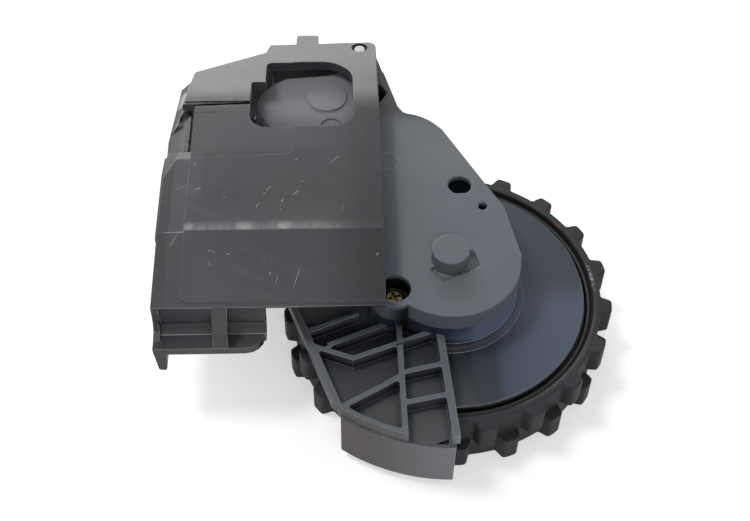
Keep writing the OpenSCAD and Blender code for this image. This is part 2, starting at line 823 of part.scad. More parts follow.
module output_gear() {
    collar_r = axle_d / 2 + 1.1;
    color("whitesmoke") difference() {
        union() {
            translate([0, 0, out_gear_z]) gear(out_m, out_teeth, 0, out_gear_h);
            post(axle_c, collar_r, floor_z + 0.2, out_gear_z + 0.1);
            post(axle_c, collar_r, out_gear_z + out_gear_h - 0.1, middle_z + 0.2);
        }
        post(axle_c, axle_d / 2, floor_z - 1, middle_z + 1);
    }
}

// Wheel
wheel_foot = -tyre_w / 2;
boss_top = flange_z - 1;
boss_foot = wheel_foot + 2.3;
hex_top = boss_foot + hex_l;
wheel_screw_r = 1.2;

module wheel_axle() {
    color("silver") difference() {
        union() {
            post(axle_c, axle_d / 2, hex_top, case_top + 0.6);
            translate([0, 0, boss_foot]) cylinder(r = axle_d / 2, h = hex_l, $fn = 6);
        }
        post(axle_c, wheel_screw_r, boss_foot - 1, boss_foot + 4);
    }
}

module wheel_hub() {
    rim_in = rim_r - rim_t;
    web_top = boss_top - 1.7;
    color("dimgray") difference() {
        union() {
            rotate_extrude() polygon([
                [wheel_boss_r - 1, boss_foot], [wheel_boss_r, boss_foot],
                [wheel_boss_r, web_top - web_t], [rim_in, web_top - web_t],
                [rim_in, wheel_foot + 0.5], [rim_r, wheel_foot + 0.5],
                [rim_r, case_foot + 0.6], [rim_r - 0.9, case_foot + 0.6],
                [rim_r - 0.9, case_foot - 0.8], [rim_in, case_foot - 0.8],
                [rim_in, web_top], [wheel_boss_r, web_top],
                [wheel_boss_r, boss_top], [wheel_boss_r - 1, boss_top]
            ]);
            post(axle_c, wheel_boss_r - 0.5, boss_foot, boss_top);
            for (i = [0 : wheel_ribs - 1])
                rotate(i * 360 / wheel_ribs)
                    translate([wheel_boss_r - 0.5, -0.8, wheel_foot + 1])
                        cube([rim_in - wheel_boss_r + 1, 1.6, web_top - web_t - wheel_foot - 0.9]);
        }
        translate([0, 0, boss_foot - 1]) cylinder(r = axle_d / 2, h = hex_l + 1, $fn = 6);
        post(axle_c, axle_d / 2, hex_top, boss_top + 1);
        for (i = [0 : wheel_ribs - 1])
            rotate((i + 0.5) * 360 / wheel_ribs)
                post([0.62 * rim_in, 0], 3, wheel_foot, web_top + 1);
    }
}

// Plan of one tread block: a tapered foot under a top with round corners
module tread_block() {
    tip_w = block_w * 0.72;
    polygon([
        [root_r - 0.6, -block_w / 2], [tread_r - block_r, -tip_w / 2],
        [tread_r - block_r, tip_w / 2], [root_r - 0.6, block_w / 2]
    ]);
    translate([tread_r - block_r - 0.1, block_r - tip_w / 2])
        square([block_r + 0.1, tip_w - 2 * block_r]);
    for (s = [-1, 1])
        translate([tread_r - block_r, s * (tip_w / 2 - block_r)]) circle(block_r);
}

// Ring that rounds the tread's edge on one side
module tread_edge() {
    edge = 1;
    rotate_extrude() polygon([
        [tread_r - edge, tyre_top], [tread_r - edge * 0.3, tyre_top - edge * 0.3],
        [tread_r + edge * 0.3, tyre_top - edge * 1.7], [tread_r + edge, tyre_top - edge * 1.7],
        [tread_r + edge, tyre_top + edge], [tread_r - edge, tyre_top + edge]
    ]);
}

module tyre() {
    lip = 0.7;
    pitch = 360 / blocks;
    color("dimgray") difference() {
        union() {
            rotate_extrude() polygon([
                [rim_r, wheel_foot + lip], [rim_r + lip, wheel_foot], [root_r, wheel_foot],
                [root_r, tyre_top], [rim_r + lip, tyre_top], [rim_r, tyre_top - lip]
            ]);
            for (i = [0 : blocks - 1]) {
                rotate(tread_turn + i * pitch) linear_extrude(tyre_top) tread_block();
                translate([0, 0, wheel_foot]) linear_extrude(tyre_top)
                    rotate(tread_turn + (i + 0.5) * pitch) tread_block();
            }
        }
        tread_edge();
        mirror([0, 0, 1]) tread_edge();
    }
}

module wheel_washer() {
    color("silver") ring(axle_c, wheel_screw_r + 0.1, 4.2, boss_foot - 0.7, boss_foot);
}

module wheel_screw() {
    seat = boss_foot - 0.7;
    color("silver") translate([0, 0, seat]) mirror([0, 0, 1])
        screw(axle_c, 0, -3.8, wheel_screw_r, 2.4, 1.2);
}

// Pivot
module pivot_pin() {
    groove_z = low_lug_top - low_lug_h - 0.6;
    color("silver") difference() {
        union() {
            post(pivot_c, pin_d / 2, groove_z - 0.9, plate_z(pivot_y) - 0.9);
            translate([pivot_x, pivot_y, plate_z(pivot_y) - 0.9])
                cylinder(r1 = pin_d / 2, r2 = pin_d / 2 - 0.3, h = 0.3);
        }
        ring(pivot_c, pin_d / 2 - 0.4, pin_d, groove_z, groove_z + 0.5);
    }
}

module pin_clip() {
    groove_z = low_lug_top - low_lug_h - 0.6;
    color("silver") difference() {
        ring(pivot_c, pin_d / 2 - 0.4, pin_d, groove_z, groove_z + 0.5);
        translate([pivot_x, pivot_y - 0.9, groove_z - 1]) cube([2 * pin_d, 1.8, 3]);
    }
}

// Bush with a lip at its foot; way -1 turns it upside down
module bush(z, way) {
    translate([pivot_x, pivot_y, z]) mirror([0, 0, way < 0 ? 1 : 0]) {
        ring([0, 0], pin_d / 2 + run_gap, bush_r, 0, bush_l);
        ring([0, 0], pin_d / 2 + run_gap, bush_r + 1, -bush_lip, 0);
    }
}

module upper_bush() {
    color("khaki") bush(lug_top, -1);
}

module lower_bush() {
    color("khaki") bush(case_foot, 1);
}

// Coil of wire along X from x0 to x1, swept as a closed tube
module coil(x0, x1, turns) {
    sides = 6;
    steps = 10;
    count = turns * steps;
    function at(i) = [x0 + (x1 - x0) * i / count, coil_r * sin(360 * i / steps),
        coil_r * cos(360 * i / steps)];
    points = [
        for (i = [0 : count], j = [0 : sides - 1])
            let (
                u = [0, sin(360 * i / steps), cos(360 * i / steps)],
                a = 360 * j / sides
            )
            at(i) + wire_d / 2 * (cos(a) * u + sin(a) * [1, 0, 0])
    ];
    walls = [
        for (i = [0 : count - 1], j = [0 : sides - 1])
            let (k = (j + 1) % sides)
            [i * sides + j, (i + 1) * sides + j, (i + 1) * sides + k, i * sides + k]
    ];
    ends = [
        [for (j = [0 : sides - 1]) j],
        [for (j = [sides - 1 : -1 : 0]) count * sides + j]
    ];
    polyhedron(points, concat(walls, ends), convexity = 4);
}

module suspension_spring() {
    hook_l = loop_r + 1.2;
    coil_0 = hook_l + 1.5;
    color("silver") translate([arm_post[0], arm_post[1], spring_z]) rotate(spring_turn) {
        for (end = [[0, 1], [spring_l, -1]]) {
            translate([end[0], 0, 0]) rotate_extrude() translate([loop_r, 0]) circle(wire_d / 2, $fn = 16);
            translate([end[0] + end[1] * loop_r, 0, 0]) rotate([0, 90 * end[1], 0])
                cylinder(r = wire_d / 2, h = coil_0 - loop_r, $fn = 16);
            translate([end[0] + end[1] * coil_0, 0, -wire_d / 2])
                cylinder(r = wire_d / 2, h = coil_r + wire_d / 2, $fn = 16);
        }
        coil(coil_0, spring_l - coil_0, spring_turns);
    }
}

// Slab that follows the plate's slopes, from off over its top down by t
module sloped(off, t) {
    bends = 5;
    ys = concat([near_y - 3, crease_y], [for (i = [0 : bends]) bend_y + bend_w * i / bends], [far_y + 6]);
    translate([left_x - 5, 0, 0]) rotate([90, 0, 90]) linear_extrude(bracket_w + 10) polygon(concat(
        [for (y = ys) [y, plate_z(y) + off]],
        [for (i = [len(ys) - 1 : -1 : 0]) [ys[i], plate_z(ys[i]) + off - t]]
    ));
}

far_left_x = left_x + 2.9;
window_right = right_x - 5.7;
window_far = far_y - 8.9;
// Line of the slot, which drops towards the left from the window's corner
function slot_y(x) = overlap_y - (window_right - window_w - x) * tan(slot_turn);
far_corner_r = 2;
tab_l = 4;
module plate_plan() {
    polygon([
        [left_x, near_y], [right_x, near_y], [right_x, far_y - far_corner_r],
        [right_x - far_corner_r, far_y], [left_x + 21.6, far_y - 0.9],
        [left_x + 20.6, far_y - 4.5], [far_left_x + 2.2, far_y - 12.9],
        [far_left_x + 1.5, far_y - 13.8], [far_left_x + 1, far_y - 16.5], [far_left_x, slot_y(far_left_x)],
        [inner_left_x, slot_y(inner_left_x)], [inner_left_x, notch_y + 1.2],
        [left_x + 3, notch_y + 1], [left_x + 0.5, notch_y + 2.2], [left_x + 0.4, crease_y]
    ]);
    translate([right_x - far_corner_r, far_y - far_corner_r]) circle(far_corner_r);
}

// Plan of the tab on the far edge, with a rounded corner
module tab_plan() {
    tab_x = left_x + 27.6;
    round_box([tab_x, far_y - 2], [tab_x + 5.2, far_y + tab_l], 0.8);
    translate([tab_x + 2.6, far_y - 2]) square([2.6, tab_l + 1.6]);
}

module window_plan() {
    near = window_far - window_l;
    left = window_right - window_w;
    step = [3.2, 8.6];
    round_box([left, near], [window_right, window_far - step[1]], window_r);
    round_box([left, near + window_r], [left + 2 * window_r, window_far - step[1]], 0.8);
    round_box([left + step[0], near + 2], [window_right, window_far], window_far_r);
    round_box([left + step[0], near + 8], [window_right - 2 * window_r, window_far - 0.3], 1.2);
    translate([window_right - window_far_r, near + window_r])
        square([window_far_r, window_far - window_far_r - near - window_r]);
}

// The raised panel leaves a strip on the left and near edges and the clip's field
field_x = inner_left_x + 21.6;
module panel_plan() {
    difference() {
        plate_plan();
        difference() {
            translate([left_x - 1, near_y - 1]) square([bracket_w + 2, notch_y - near_y + 1]);
            round_box([inner_left_x, near_y + 0.9], [right_x + 5, notch_y + 5], 1.7);
        }
        intersection() {
            translate([field_x, notch_y - 0.2]) rotate(slot_turn - 0.6) round_box([-30, 0], [0, 20], 1.5);
            translate([left_x, notch_y - 3]) square([field_x - left_x + 1, overlap_y - notch_y + 3]);
        }
    }
}

mount_at = [[left_x + 4.6, near_y + 7.6], [left_x + 4.6, near_y + 33.4], [left_x + 9, far_y - 17]];

// Near skirt: a wall under the plate's edge, its ridge, the hollow below it and the ledge
skirt_w = 22.4;
ledge_z = 14.3;
ledge_t = 2;
module skirt() {
    top = plate_z(near_y) - panel_t;
    ledge_y = near_y - 5;
    corner_x = left_x + skirt_w;
    // Wall, ridge and hollow
    translate([left_x, 0, 0]) rotate([90, 0, 90]) linear_extrude(skirt_w) polygon([
        [near_y + 2.8, top - 1], [near_y + 0.6, top - 0.4], [near_y + 0.8, top - 1.2],
        [near_y + 0.3, ledge_z + 3.4], [near_y, ledge_z + 2], [near_y + 0.5, ledge_z + 1.2],
        [near_y - 0.3, ledge_z + 0.6], [near_y - 1.5, ledge_z + 0.1], [near_y - 2, ledge_z - 0.4],
        [near_y - 2, ledge_z - ledge_t], [near_y + 0.4, ledge_z - ledge_t], [near_y + 2.2, ledge_z]
    ]);
    // Ledge, with its right corner taken off
    translate([0, 0, ledge_z - ledge_t]) linear_extrude(ledge_t) polygon([
        [left_x, near_y], [left_x, ledge_y], [corner_x - 4.2, ledge_y], [corner_x - 2.6, ledge_y + 0.3],
        [corner_x - 1.5, ledge_y + 1], [corner_x - 0.6, ledge_y + 2.2], [corner_x, near_y]
    ]);
    // End wall with a hollow edge
    translate([left_x, 0, 0]) rotate([90, 0, 90]) linear_extrude(1.3) polygon([
        [near_y + 1, top - 0.5], [near_y, top - 0.3], [near_y - 0.2, ledge_z + 3.6],
        [near_y - 0.5, ledge_z + 2], [near_y - 1.3, ledge_z + 0.8], [near_y - 3.4, ledge_z - 0.1],
        [near_y + 1, ledge_z - 0.1]
    ]);
    // Strap that bridges the hollow from the plate's edge to the ledge
    translate([left_x + 12, 0, 0]) rotate([90, 0, 90]) linear_extrude(3) polygon([
        [near_y + 0.9, top - 0.2], [near_y, top], [near_y - 4.1, 17.4], [ledge_y - 0.2, ledge_z - 1.4],
        [ledge_y + 1, ledge_z - 1.4], [near_y - 3.1, 16.9], [near_y + 0.9, top - 1.3]
    ]);
    // Leg under the ledge's left end
    translate([left_x, ledge_y, 0]) rotate([90, 0, 0]) translate([0, 0, -4.2]) linear_extrude(4.2)
        polygon([
            [0, ledge_z - 0.5], [2.7, ledge_z - 0.5], [2.2, tyre_top + 0.8], [1.9, tyre_top + 0.4],
            [0.9, tyre_top + 0.4], [0.5, tyre_top + 0.8]
        ]);
}

// Four-sided slab of depth t under the corners p, anticlockwise seen from above
module slab(p, t) {
    polyhedron(concat(p, [for (q = p) q - [0, 0, t]]), [
        [0, 3, 2], [0, 2, 1], [4, 5, 6], [4, 6, 7],
        [0, 1, 5, 4], [1, 2, 6, 5], [2, 3, 7, 6], [3, 0, 4, 7]
    ]);
}

// Side wall: upright by the near strip, then leaning inwards up to the plate
wall_top = 18;
hole_y = slot_y(far_left_x) - 3.2;
slot_end = window_right - window_w + 1;
wall_line_xy = [
    [left_x - 0.3, notch_y], [left_x - 0.4, far_y - 31], [left_x + 0.2, far_y - 25],
    [left_x + 1.4, far_y - 14], [far_left_x + 1.8, far_y - 13]
];
module side_wall() {
    translate([left_x, near_y, side_foot])
        cube([side_t, notch_y - near_y + 0.5, plate_z(near_y) - side_foot - 1]);
    intersection() {
        translate([left_x, crease_y - 1, side_foot]) cube([side_t, notch_y - crease_y + 2, plate_top]);
        sloped(-1, 30);
    }
    translate([0, 0, side_foot]) linear_extrude(wall_top - side_foot) polygon(concat(
        wall_line_xy,
        [for (i = [len(wall_line_xy) - 1 : -1 : 0]) wall_line_xy[i] + [side_t, 0]]
    ));
    lean_t = 2;
    slit_x = inner_left_x - 0.7;
    slab([
        [left_x - 0.3, notch_y, wall_top], [slit_x, notch_y, plate_top - 0.9],
        [slit_x, hole_y + 0.1, plate_top - 0.9], [left_x, hole_y + 0.1, wall_top]
    ], lean_t);
    slab([
        [left_x, hole_y, wall_top], [far_left_x + 0.3, hole_y, plate_top - 1.6],
        [far_left_x + 1.7, far_y - 13.8, plate_z(far_y - 13.8) - 1.6],
        [left_x + 1.4, far_y - 14.2, wall_top]
    ], lean_t);
    // Strip under the slit between the leaning wall and the panel
    translate([slit_x - 1.2, notch_y, plate_top - panel_t - plate_t - 0.8])
        cube([inner_left_x + 0.6 - slit_x + 1.2, hole_y - notch_y, 1.2]);
}

// Wall under the plate's far edge, open where the spring's hook swings by
module far_wall() {
    t = 1.2;
    set_in = 0.2;
    for (zone = [
        [bridge_z + 0.3, [
            [pivot_x - 5.2, far_y + 1], [left_x + 15.7, far_y + 1],
            [left_x + 15.7, far_y - 9], [pivot_x - 5.2, far_y - 6]
        ]],
        [0.7, [
            [left_x + 20.4, far_y + 1], [left_x + 15.7, far_y + 1],
            [left_x + 15.7, far_y - 10], [left_x + 20.4, far_y - 8]
        ]],
        [case_foot, [
            [left_x + 9.7, far_y], [left_x - 1, far_y],
            [left_x - 1, far_y - 14.4], [left_x + 9.7, far_y - 14.4]
        ]]
    ])
        intersection() {
            translate([0, 0, zone[0]]) linear_extrude(plate_top) intersection() {
                difference() {
                    offset(delta = -set_in) plate_plan();
                    offset(delta = -set_in - t) plate_plan();
                }
                polygon(zone[1]);
            }
            sloped(-panel_t - 0.2, 30);
        }
}

module pivot_support() {
    web = [right_x - 12, right_x - 8.9];
    translate([web[0], far_y - 2, low_lug_top - low_lug_h])
        cube([web[1] - web[0], 2, plate_z(far_y) - plate_t / 2 - low_lug_top + low_lug_h]);
    translate([web[0], far_y - 2, low_lug_top - low_lug_h])
        cube([pivot_x - web[0], 2, low_lug_h]);
    post(pivot_c, low_lug_r, low_lug_top - low_lug_h, low_lug_top);
}

// Slopes that take off the far corner of the near strip
module strip_corner() {
    translate([left_x + 2.9, notch_y - 1.2, plate_top - panel_t]) {
        rotate(66) rotate([-31, 0, 0]) translate([-8, 0, 0]) cube([11, 6, 4]);
        rotate([-10, 0, 0]) translate([-0.5, 0, 0]) cube([inner_left_x - left_x - 2.4, 6, 4]);
    }
}

module bracket() {
    color([0.16, 0.16, 0.18]) difference() {
        union() {
            difference() {
                intersection() {
                    sloped(-panel_t, plate_t);
                    linear_extrude(2 * plate_top) plate_plan();
                }
                // Undercut of the near edge
                translate([left_x - 1, near_y, plate_z(near_y) - panel_t - 0.5])
                    rotate([-45, 0, 0]) translate([0, -3, -5]) cube([bracket_w + 2, 8, 5]);
            }
            intersection() {
                sloped(0, panel_t + 0.1);
                linear_extrude(2 * plate_top) panel_plan();
            }
            skirt();
            side_wall();
            far_wall();
            pivot_support();
            intersection() {
                sloped(-panel_t + 0.1, plate_t - 0.2);
                linear_extrude(2 * plate_top) tab_plan();
            }
            intersection() {
                union() {
                    for (p = mount_at)
                        post(p, mount_boss_d / 2, mount_foot, plate_top);
                    post(bracket_post, post_d / 2, spring_z - 1.2, plate_top);
                    for (y = [bracket_post[1] - 5, bracket_post[1] + 8])
                        translate([left_x + 1, y, plate_top - plate_t - 3.4])
                            cube([bracket_w - 8, 1.2, 4]);
                }
                sloped(-panel_t - 0.2, 30);
            }
            post(bracket_post, post_d / 2 + 0.5, spring_z - 1.8, spring_z - 1.2);
        }
        linear_extrude(2 * plate_top) window_plan();
        post(pivot_c, pin_d / 2, low_lug_top - low_lug_h - 1, plate_top);
        post(pivot_c, pin_hole_r, plate_z(pivot_y) - 1, plate_top);
        for (p = mount_at)
            post(p, mount_hole_d / 2, mount_foot - 1, plate_z(p[1]) - plate_t - 1);
        strip_corner();
        translate([far_left_x - 0.8, hole_y, mount_foot])
            cube([inner_left_x - far_left_x + 0.8, slot_y(inner_left_x) - hole_y, plate_top]);
        translate([slot_end, slot_y(slot_end), plate_z(overlap_y) - panel_t - 0.8])
            rotate(180 + slot_turn) cube([slot_end - far_left_x + 1, 0.5, 2]);
        translate([far_left_x, bend_y + bend_w / 2, plate_top - panel_t])
            rotate([-atan(far_slope), 0, -7]) rotate([0, 45, 0]) cube([1.4, 40, 1.4], center = true);
    }
}

bracket();
pivot_pin();
pin_clip();
upper_bush();
lower_bush();
suspension_spring();
gearbox_cover();
gearbox_base();
case_screws();
motor_can();
motor_end_cap();
motor_terminals();
motor_board();
board_header();
header_pins();
motor_screws();
motor_shaft();
motor_pinion();
first_gear();
second_gear();
third_gear();
first_gear_pin();
second_gear_pin();
third_gear_pin();
inner_bearing();
outer_bearing();
axle_seal();
output_gear();
wheel_axle();
wheel_hub();
tyre();
wheel_washer();
wheel_screw();
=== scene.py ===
"""Looks of a robot vacuum's drive wheel module, dressed over its fixed frame.

The frame is in metres: Z is the wheel's axis, and Y runs along the bracket. Finishes, edge
radii and the tyre are written in millimetres, and MM turns them into metres.
"""
import json
import math

import bmesh
import bpy
import numpy as np
from mathutils import Matrix, Vector

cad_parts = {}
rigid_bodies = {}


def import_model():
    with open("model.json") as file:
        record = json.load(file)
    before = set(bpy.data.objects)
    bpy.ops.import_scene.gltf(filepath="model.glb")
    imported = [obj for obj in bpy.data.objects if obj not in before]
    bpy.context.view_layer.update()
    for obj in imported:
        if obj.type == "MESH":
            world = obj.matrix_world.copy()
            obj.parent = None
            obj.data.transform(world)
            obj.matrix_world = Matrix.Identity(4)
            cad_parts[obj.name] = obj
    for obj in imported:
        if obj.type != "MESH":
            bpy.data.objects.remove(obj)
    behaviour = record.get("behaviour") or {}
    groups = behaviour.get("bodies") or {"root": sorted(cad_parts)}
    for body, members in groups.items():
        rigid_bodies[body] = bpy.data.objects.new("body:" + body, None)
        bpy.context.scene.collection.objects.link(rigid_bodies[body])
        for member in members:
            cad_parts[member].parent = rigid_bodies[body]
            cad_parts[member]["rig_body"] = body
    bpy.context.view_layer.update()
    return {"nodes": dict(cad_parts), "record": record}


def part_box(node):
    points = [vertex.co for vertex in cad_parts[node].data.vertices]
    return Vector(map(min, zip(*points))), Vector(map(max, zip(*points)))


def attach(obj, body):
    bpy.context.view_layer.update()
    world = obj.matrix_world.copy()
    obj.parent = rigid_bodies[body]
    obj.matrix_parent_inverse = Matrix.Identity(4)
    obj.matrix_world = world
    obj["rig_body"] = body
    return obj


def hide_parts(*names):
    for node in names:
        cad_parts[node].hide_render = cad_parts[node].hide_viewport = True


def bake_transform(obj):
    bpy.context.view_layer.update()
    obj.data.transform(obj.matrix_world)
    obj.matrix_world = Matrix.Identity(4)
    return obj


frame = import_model()
nodes = frame["nodes"]
slots = {part["node"]: part["material_slot"] for part in frame["record"]["subparts"]}
MM = 0.001

# Places that the finishes, the edges and the stage share
FLOOR_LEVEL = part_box("tyre")[0].z - 0.05 * MM
BOSS_HEIGHT = 3.7 * MM
COVER_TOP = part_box("gearbox_cover")[1].z - BOSS_HEIGHT
CREASE_Y = 2.0 * MM


def linear(red, green, blue):
    """An sRGB colour of 0 to 255 as the shader's linear colour."""
    def channel(value):
        value /= 255
        return value / 12.92 if value <= 0.04045 else ((value + 0.055) / 1.055) ** 2.4
    return channel(red), channel(green), channel(blue), 1.0


def add_object(name, data):
    """A new object in the scene, unturned at the origin."""
    made = bpy.data.objects.new(name, data)
    bpy.context.scene.collection.objects.link(made)
    return made


def make_camera():
    """The camera, where the photograph was taken from."""
    place = Vector((-21.8, -160.7, 218.5)) * MM
    ahead = Vector((0.0245, 0.6237, -0.7813)).normalized()
    level = Vector((0.99923, -0.03926, 0)).normalized()
    roll = math.radians(0.927)
    back = -ahead
    up = back.cross(level).normalized()
    right = level * math.cos(roll) + up * math.sin(roll)
    up = back.cross(right)
    data = bpy.data.cameras.new("camera")
    data.lens = 60
    data.sensor_width = 36
    data.clip_start = 0.01
    camera = add_object("camera", data)
    turn = Matrix((right, up, back)).transposed().to_4x4()
    camera.matrix_world = Matrix.Translation(place) @ turn
    bpy.context.scene.camera = camera


class Value:
    """A shader socket that can be written in an expression."""

    def __init__(self, graph, socket):
        self.graph = graph
        self.socket = socket

    def math(self, operation, *inputs):
        return self.graph.node("ShaderNodeMath", {"operation": operation},
                               dict(enumerate(inputs)))

    def __add__(self, other):
        return self.math("ADD", self, other)

    __radd__ = __add__

    def __sub__(self, other):
        return self.math("SUBTRACT", self, other)

    def __rsub__(self, other):
        return self.math("SUBTRACT", other, self)

    def __mul__(self, other):
        return self.math("MULTIPLY", self, other)

    __rmul__ = __mul__

    def __pow__(self, other):
        return self.math("POWER", self, other)

    def __abs__(self):
        return self.math("ABSOLUTE", self)

    def larger(self, other):
        return self.math("MAXIMUM", self, other)


class Graph:
    """A shader's node tree, filled by one method and by expressions on values."""

    def __init__(self, tree):
        self.tree = tree

    def node(self, kind, settings={}, sockets={}, output=0):
        """One node. Settings come first, then values or links of its sockets."""
        made = self.tree.nodes.new(kind)
        for name, setting in settings.items():
            setattr(made, name, setting)
        for name, value in sockets.items():
            self.feed(made.inputs[name], value)
        return made if output is None else Value(self, made.outputs[output])

    def feed(self, socket, value):
        if isinstance(value, Value):
            self.tree.links.new(value.socket, socket)
        else:
            socket.default_value = value

    def shown(self):
        """1 for rays that the camera sees, also by way of a mirror or glass, else 0."""
        rays = self.node("ShaderNodeLightPath", output=None)
        seen = Value(self, rays.outputs["Is Camera Ray"])
        for name in ("Is Glossy Ray", "Is Transmission Ray"):
            seen = seen.larger(Value(self, rays.outputs[name]))
        return seen


class Finish(Graph):
    """A material in the making. Its methods take lengths in millimetres, except step."""

    # A Mix node's sockets for colours
    FIRST_COLOUR, SECOND_COLOUR, MIXED_COLOUR = 6, 7, 2

    def __init__(self, name):
        self.material = bpy.data.materials.new(name)
        self.material.use_nodes = True
        super().__init__(self.material.node_tree)
        self.surface = self.tree.nodes["Principled BSDF"]
        self.place = self.node("ShaderNodeTexCoord", output="Object")
        self.x, self.y, self.z = self.axes(self.place)

    def axes(self, vector):
        """The three numbers of a vector."""
        made = self.node("ShaderNodeSeparateXYZ", {}, {0: vector}, None)
        return [Value(self, made.outputs[i]) for i in range(3)]

    def set(self, **sockets):
        """Feeds sockets of the surface, named with underscores for spaces."""
        for name, value in sockets.items():
            self.feed(self.surface.inputs[name.replace("_", " ")], value)

    def noise(self, scale, detail=3.0, roughness=0.5, place=None, shift=0.0):
        """Noise of about scale waves to a metre, from 0 to 1; shift sets it apart."""
        place = place or self.place
        if shift:
            place = self.node("ShaderNodeVectorMath", {"operation": "ADD"},
                              {0: place, 1: (shift, shift * 1.7, shift * 0.6)})
        return self.node("ShaderNodeTexNoise", {}, {
            "Vector": place, "Scale": scale, "Detail": detail, "Roughness": roughness})

    def stretched(self, turn, along, across):
        """Coordinates turned about Z and scaled along and across that direction."""
        turned = self.node("ShaderNodeVectorRotate", {"rotation_type": "Z_AXIS"},
                           {"Vector": self.place, "Angle": math.radians(turn)})
        return self.node("ShaderNodeVectorMath", {"operation": "MULTIPLY"},
                         {0: turned, 1: (along, across, across)})

    def step(self, value, low, high, start=0.0, end=1.0):
        """A soft step from start to end as value goes from low to high."""
        return self.node("ShaderNodeMapRange", {"interpolation_type": "SMOOTHSTEP"}, {
            "Value": value, "From Min": low, "From Max": high, "To Min": start, "To Max": end})

    def rise(self, value, low, high):
        """A soft step from 0 to 1 as a length goes from low to high."""
        return self.step(value, low * MM, high * MM)

    def fall(self, value, low, high):
        """A soft step from 1 to 0 as a length goes from low to high."""
        return self.step(value, low * MM, high * MM, 1.0, 0.0)

    def mix(self, first, second, share):
        """A colour between first and second."""
        return self.node("ShaderNodeMix", {"data_type": "RGBA"}, {
            0: share, self.FIRST_COLOUR: first, self.SECOND_COLOUR: second}, self.MIXED_COLOUR)

    def rounded_normal(self, radius):
        """The surface's normal with its edges rounded by radius."""
        return self.node("ShaderNodeBevel", {"samples": 8}, {"Radius": radius * MM})

    def edges(self, radius):
        """1 on sharp edges and corners within about radius, 0 on open faces."""
        rounded = self.rounded_normal(radius)
        true = self.node("ShaderNodeNewGeometry", output="True Normal")
        agree = self.node("ShaderNodeVectorMath", {"operation": "DOT_PRODUCT"},
                          {0: rounded, 1: true}, "Value")
        return self.step(1 - agree, 0.01, 0.12)

    def hollows(self, reach):
        """1 deep in corners and gaps, 0 in the open."""
        open_share = self.node("ShaderNodeAmbientOcclusion", {"samples": 6},
                               {"Distance": reach * MM}, "AO")
        return self.step(1 - open_share, 0.15, 0.85)

    def distance(self, centre=(0.0, 0.0)):
        """Distance from an upright line through centre, in metres."""
        across, along = self.x - centre[0] * MM, self.y - centre[1] * MM
        return (across * across + along * along) ** 0.5

    def spot(self, centre, radius, soft):
        """1 in a round spot seen from above, with a border soft times its radius."""
        radius = radius * MM
        return self.step(self.distance(centre), (1 - soft) * radius, radius, 1.0, 0.0)

    def line(self, start, end, width):
        """1 on a thin straight scratch seen from above, fading towards its ends."""
        a, b = (Vector([MM * v for v in place]) for place in (start, end))
        width = width * MM
        along = (b - a).normalized()
        length = (b - a).length
        run = (self.x - a.x) * along.x + (self.y - a.y) * along.y
        off = abs((self.x - a.x) * along.y - (self.y - a.y) * along.x)
        inside = self.step(run, 0.0, 0.3 * length)
        inside = inside * self.step(run, 0.7 * length, length, 1.0, 0.0)
        return self.step(off, 0.4 * width, width, 1.0, 0.0) * inside

    def marks(self, strokes):
        """1 on any of several strokes, each (start, end, width)."""
        found = 0.0
        for stroke in strokes:
            found = self.line(*stroke).larger(found)
        return found

    def scratches(self, turn, density, fine):
        """Short thin streaks one way; density from 0 to 1, fine waves to a metre across."""
        slimness = 28
        streak = self.noise(1.0, 1.0, 0.4, self.stretched(turn, fine / slimness, fine),
                            turn * 0.37)
        patches = self.noise(90.0, 2.0, 0.5, shift=turn * 0.11 + 3)
        edge = 0.80 - 0.12 * density
        return self.step(streak, edge, edge + 0.05) * self.step(patches, 0.45, 0.62)

    def specks(self, scale):
        """1 on sparse small specks, about scale places to a metre."""
        return self.step(self.noise(scale, 1.0, 0.3, shift=9.0), 0.8, 0.85)

    def bump(self, height, depth, edge):
        """Height in units of depth, over edges rounded by edge."""
        self.set(Normal=self.node("ShaderNodeBump", {}, {
            "Height": height, "Distance": depth * MM, "Strength": 1.0,
            "Normal": self.rounded_normal(edge)}))


# Strokes that stand out on the plate: start, end and width
PLATE_STROKES = (
    ((-37.9, 12.6), (-36.7, 14.2), 0.10), ((-38.5, 11.8), (-37.9, 12.3), 0.12),
    ((-32.4, 11.4), (-31.6, 12.0), 0.12), ((-31.9, 11.8), (-30.9, 12.8), 0.14),
    ((-39.8, 8.0), (-39.5, 8.9), 0.12), ((-39.6, 8.7), (-38.9, 9.5), 0.10),
    ((-34.7, 9.6), (-34.1, 10.3), 0.19), ((-49.1, -2.6), (-48.5, -2.0), 0.11),
    ((-48.6, -2.2), (-47.5, -2.9), 0.10), ((-45.5, -3.3), (-44.6, -3.1), 0.14),
    ((-32.1, -11.0), (-30.4, -5.8), 0.09), ((-35.5, -10.0), (-35.0, -7.6), 0.09),
    ((-25.0, 19.9), (-22.3, 22.8), 0.09), ((-57.0, -1.6), (-55.3, 2.0), 0.09),
    ((-15.5, -3.9), (-14.8, -3.4), 0.19), ((-36.8, -7.8), (-36.3, -7.2), 0.16),
    ((-32.1, 21.2), (-31.3, 21.7), 0.15), ((-52.6, 13.2), (-51.2, 13.9), 0.16),
)


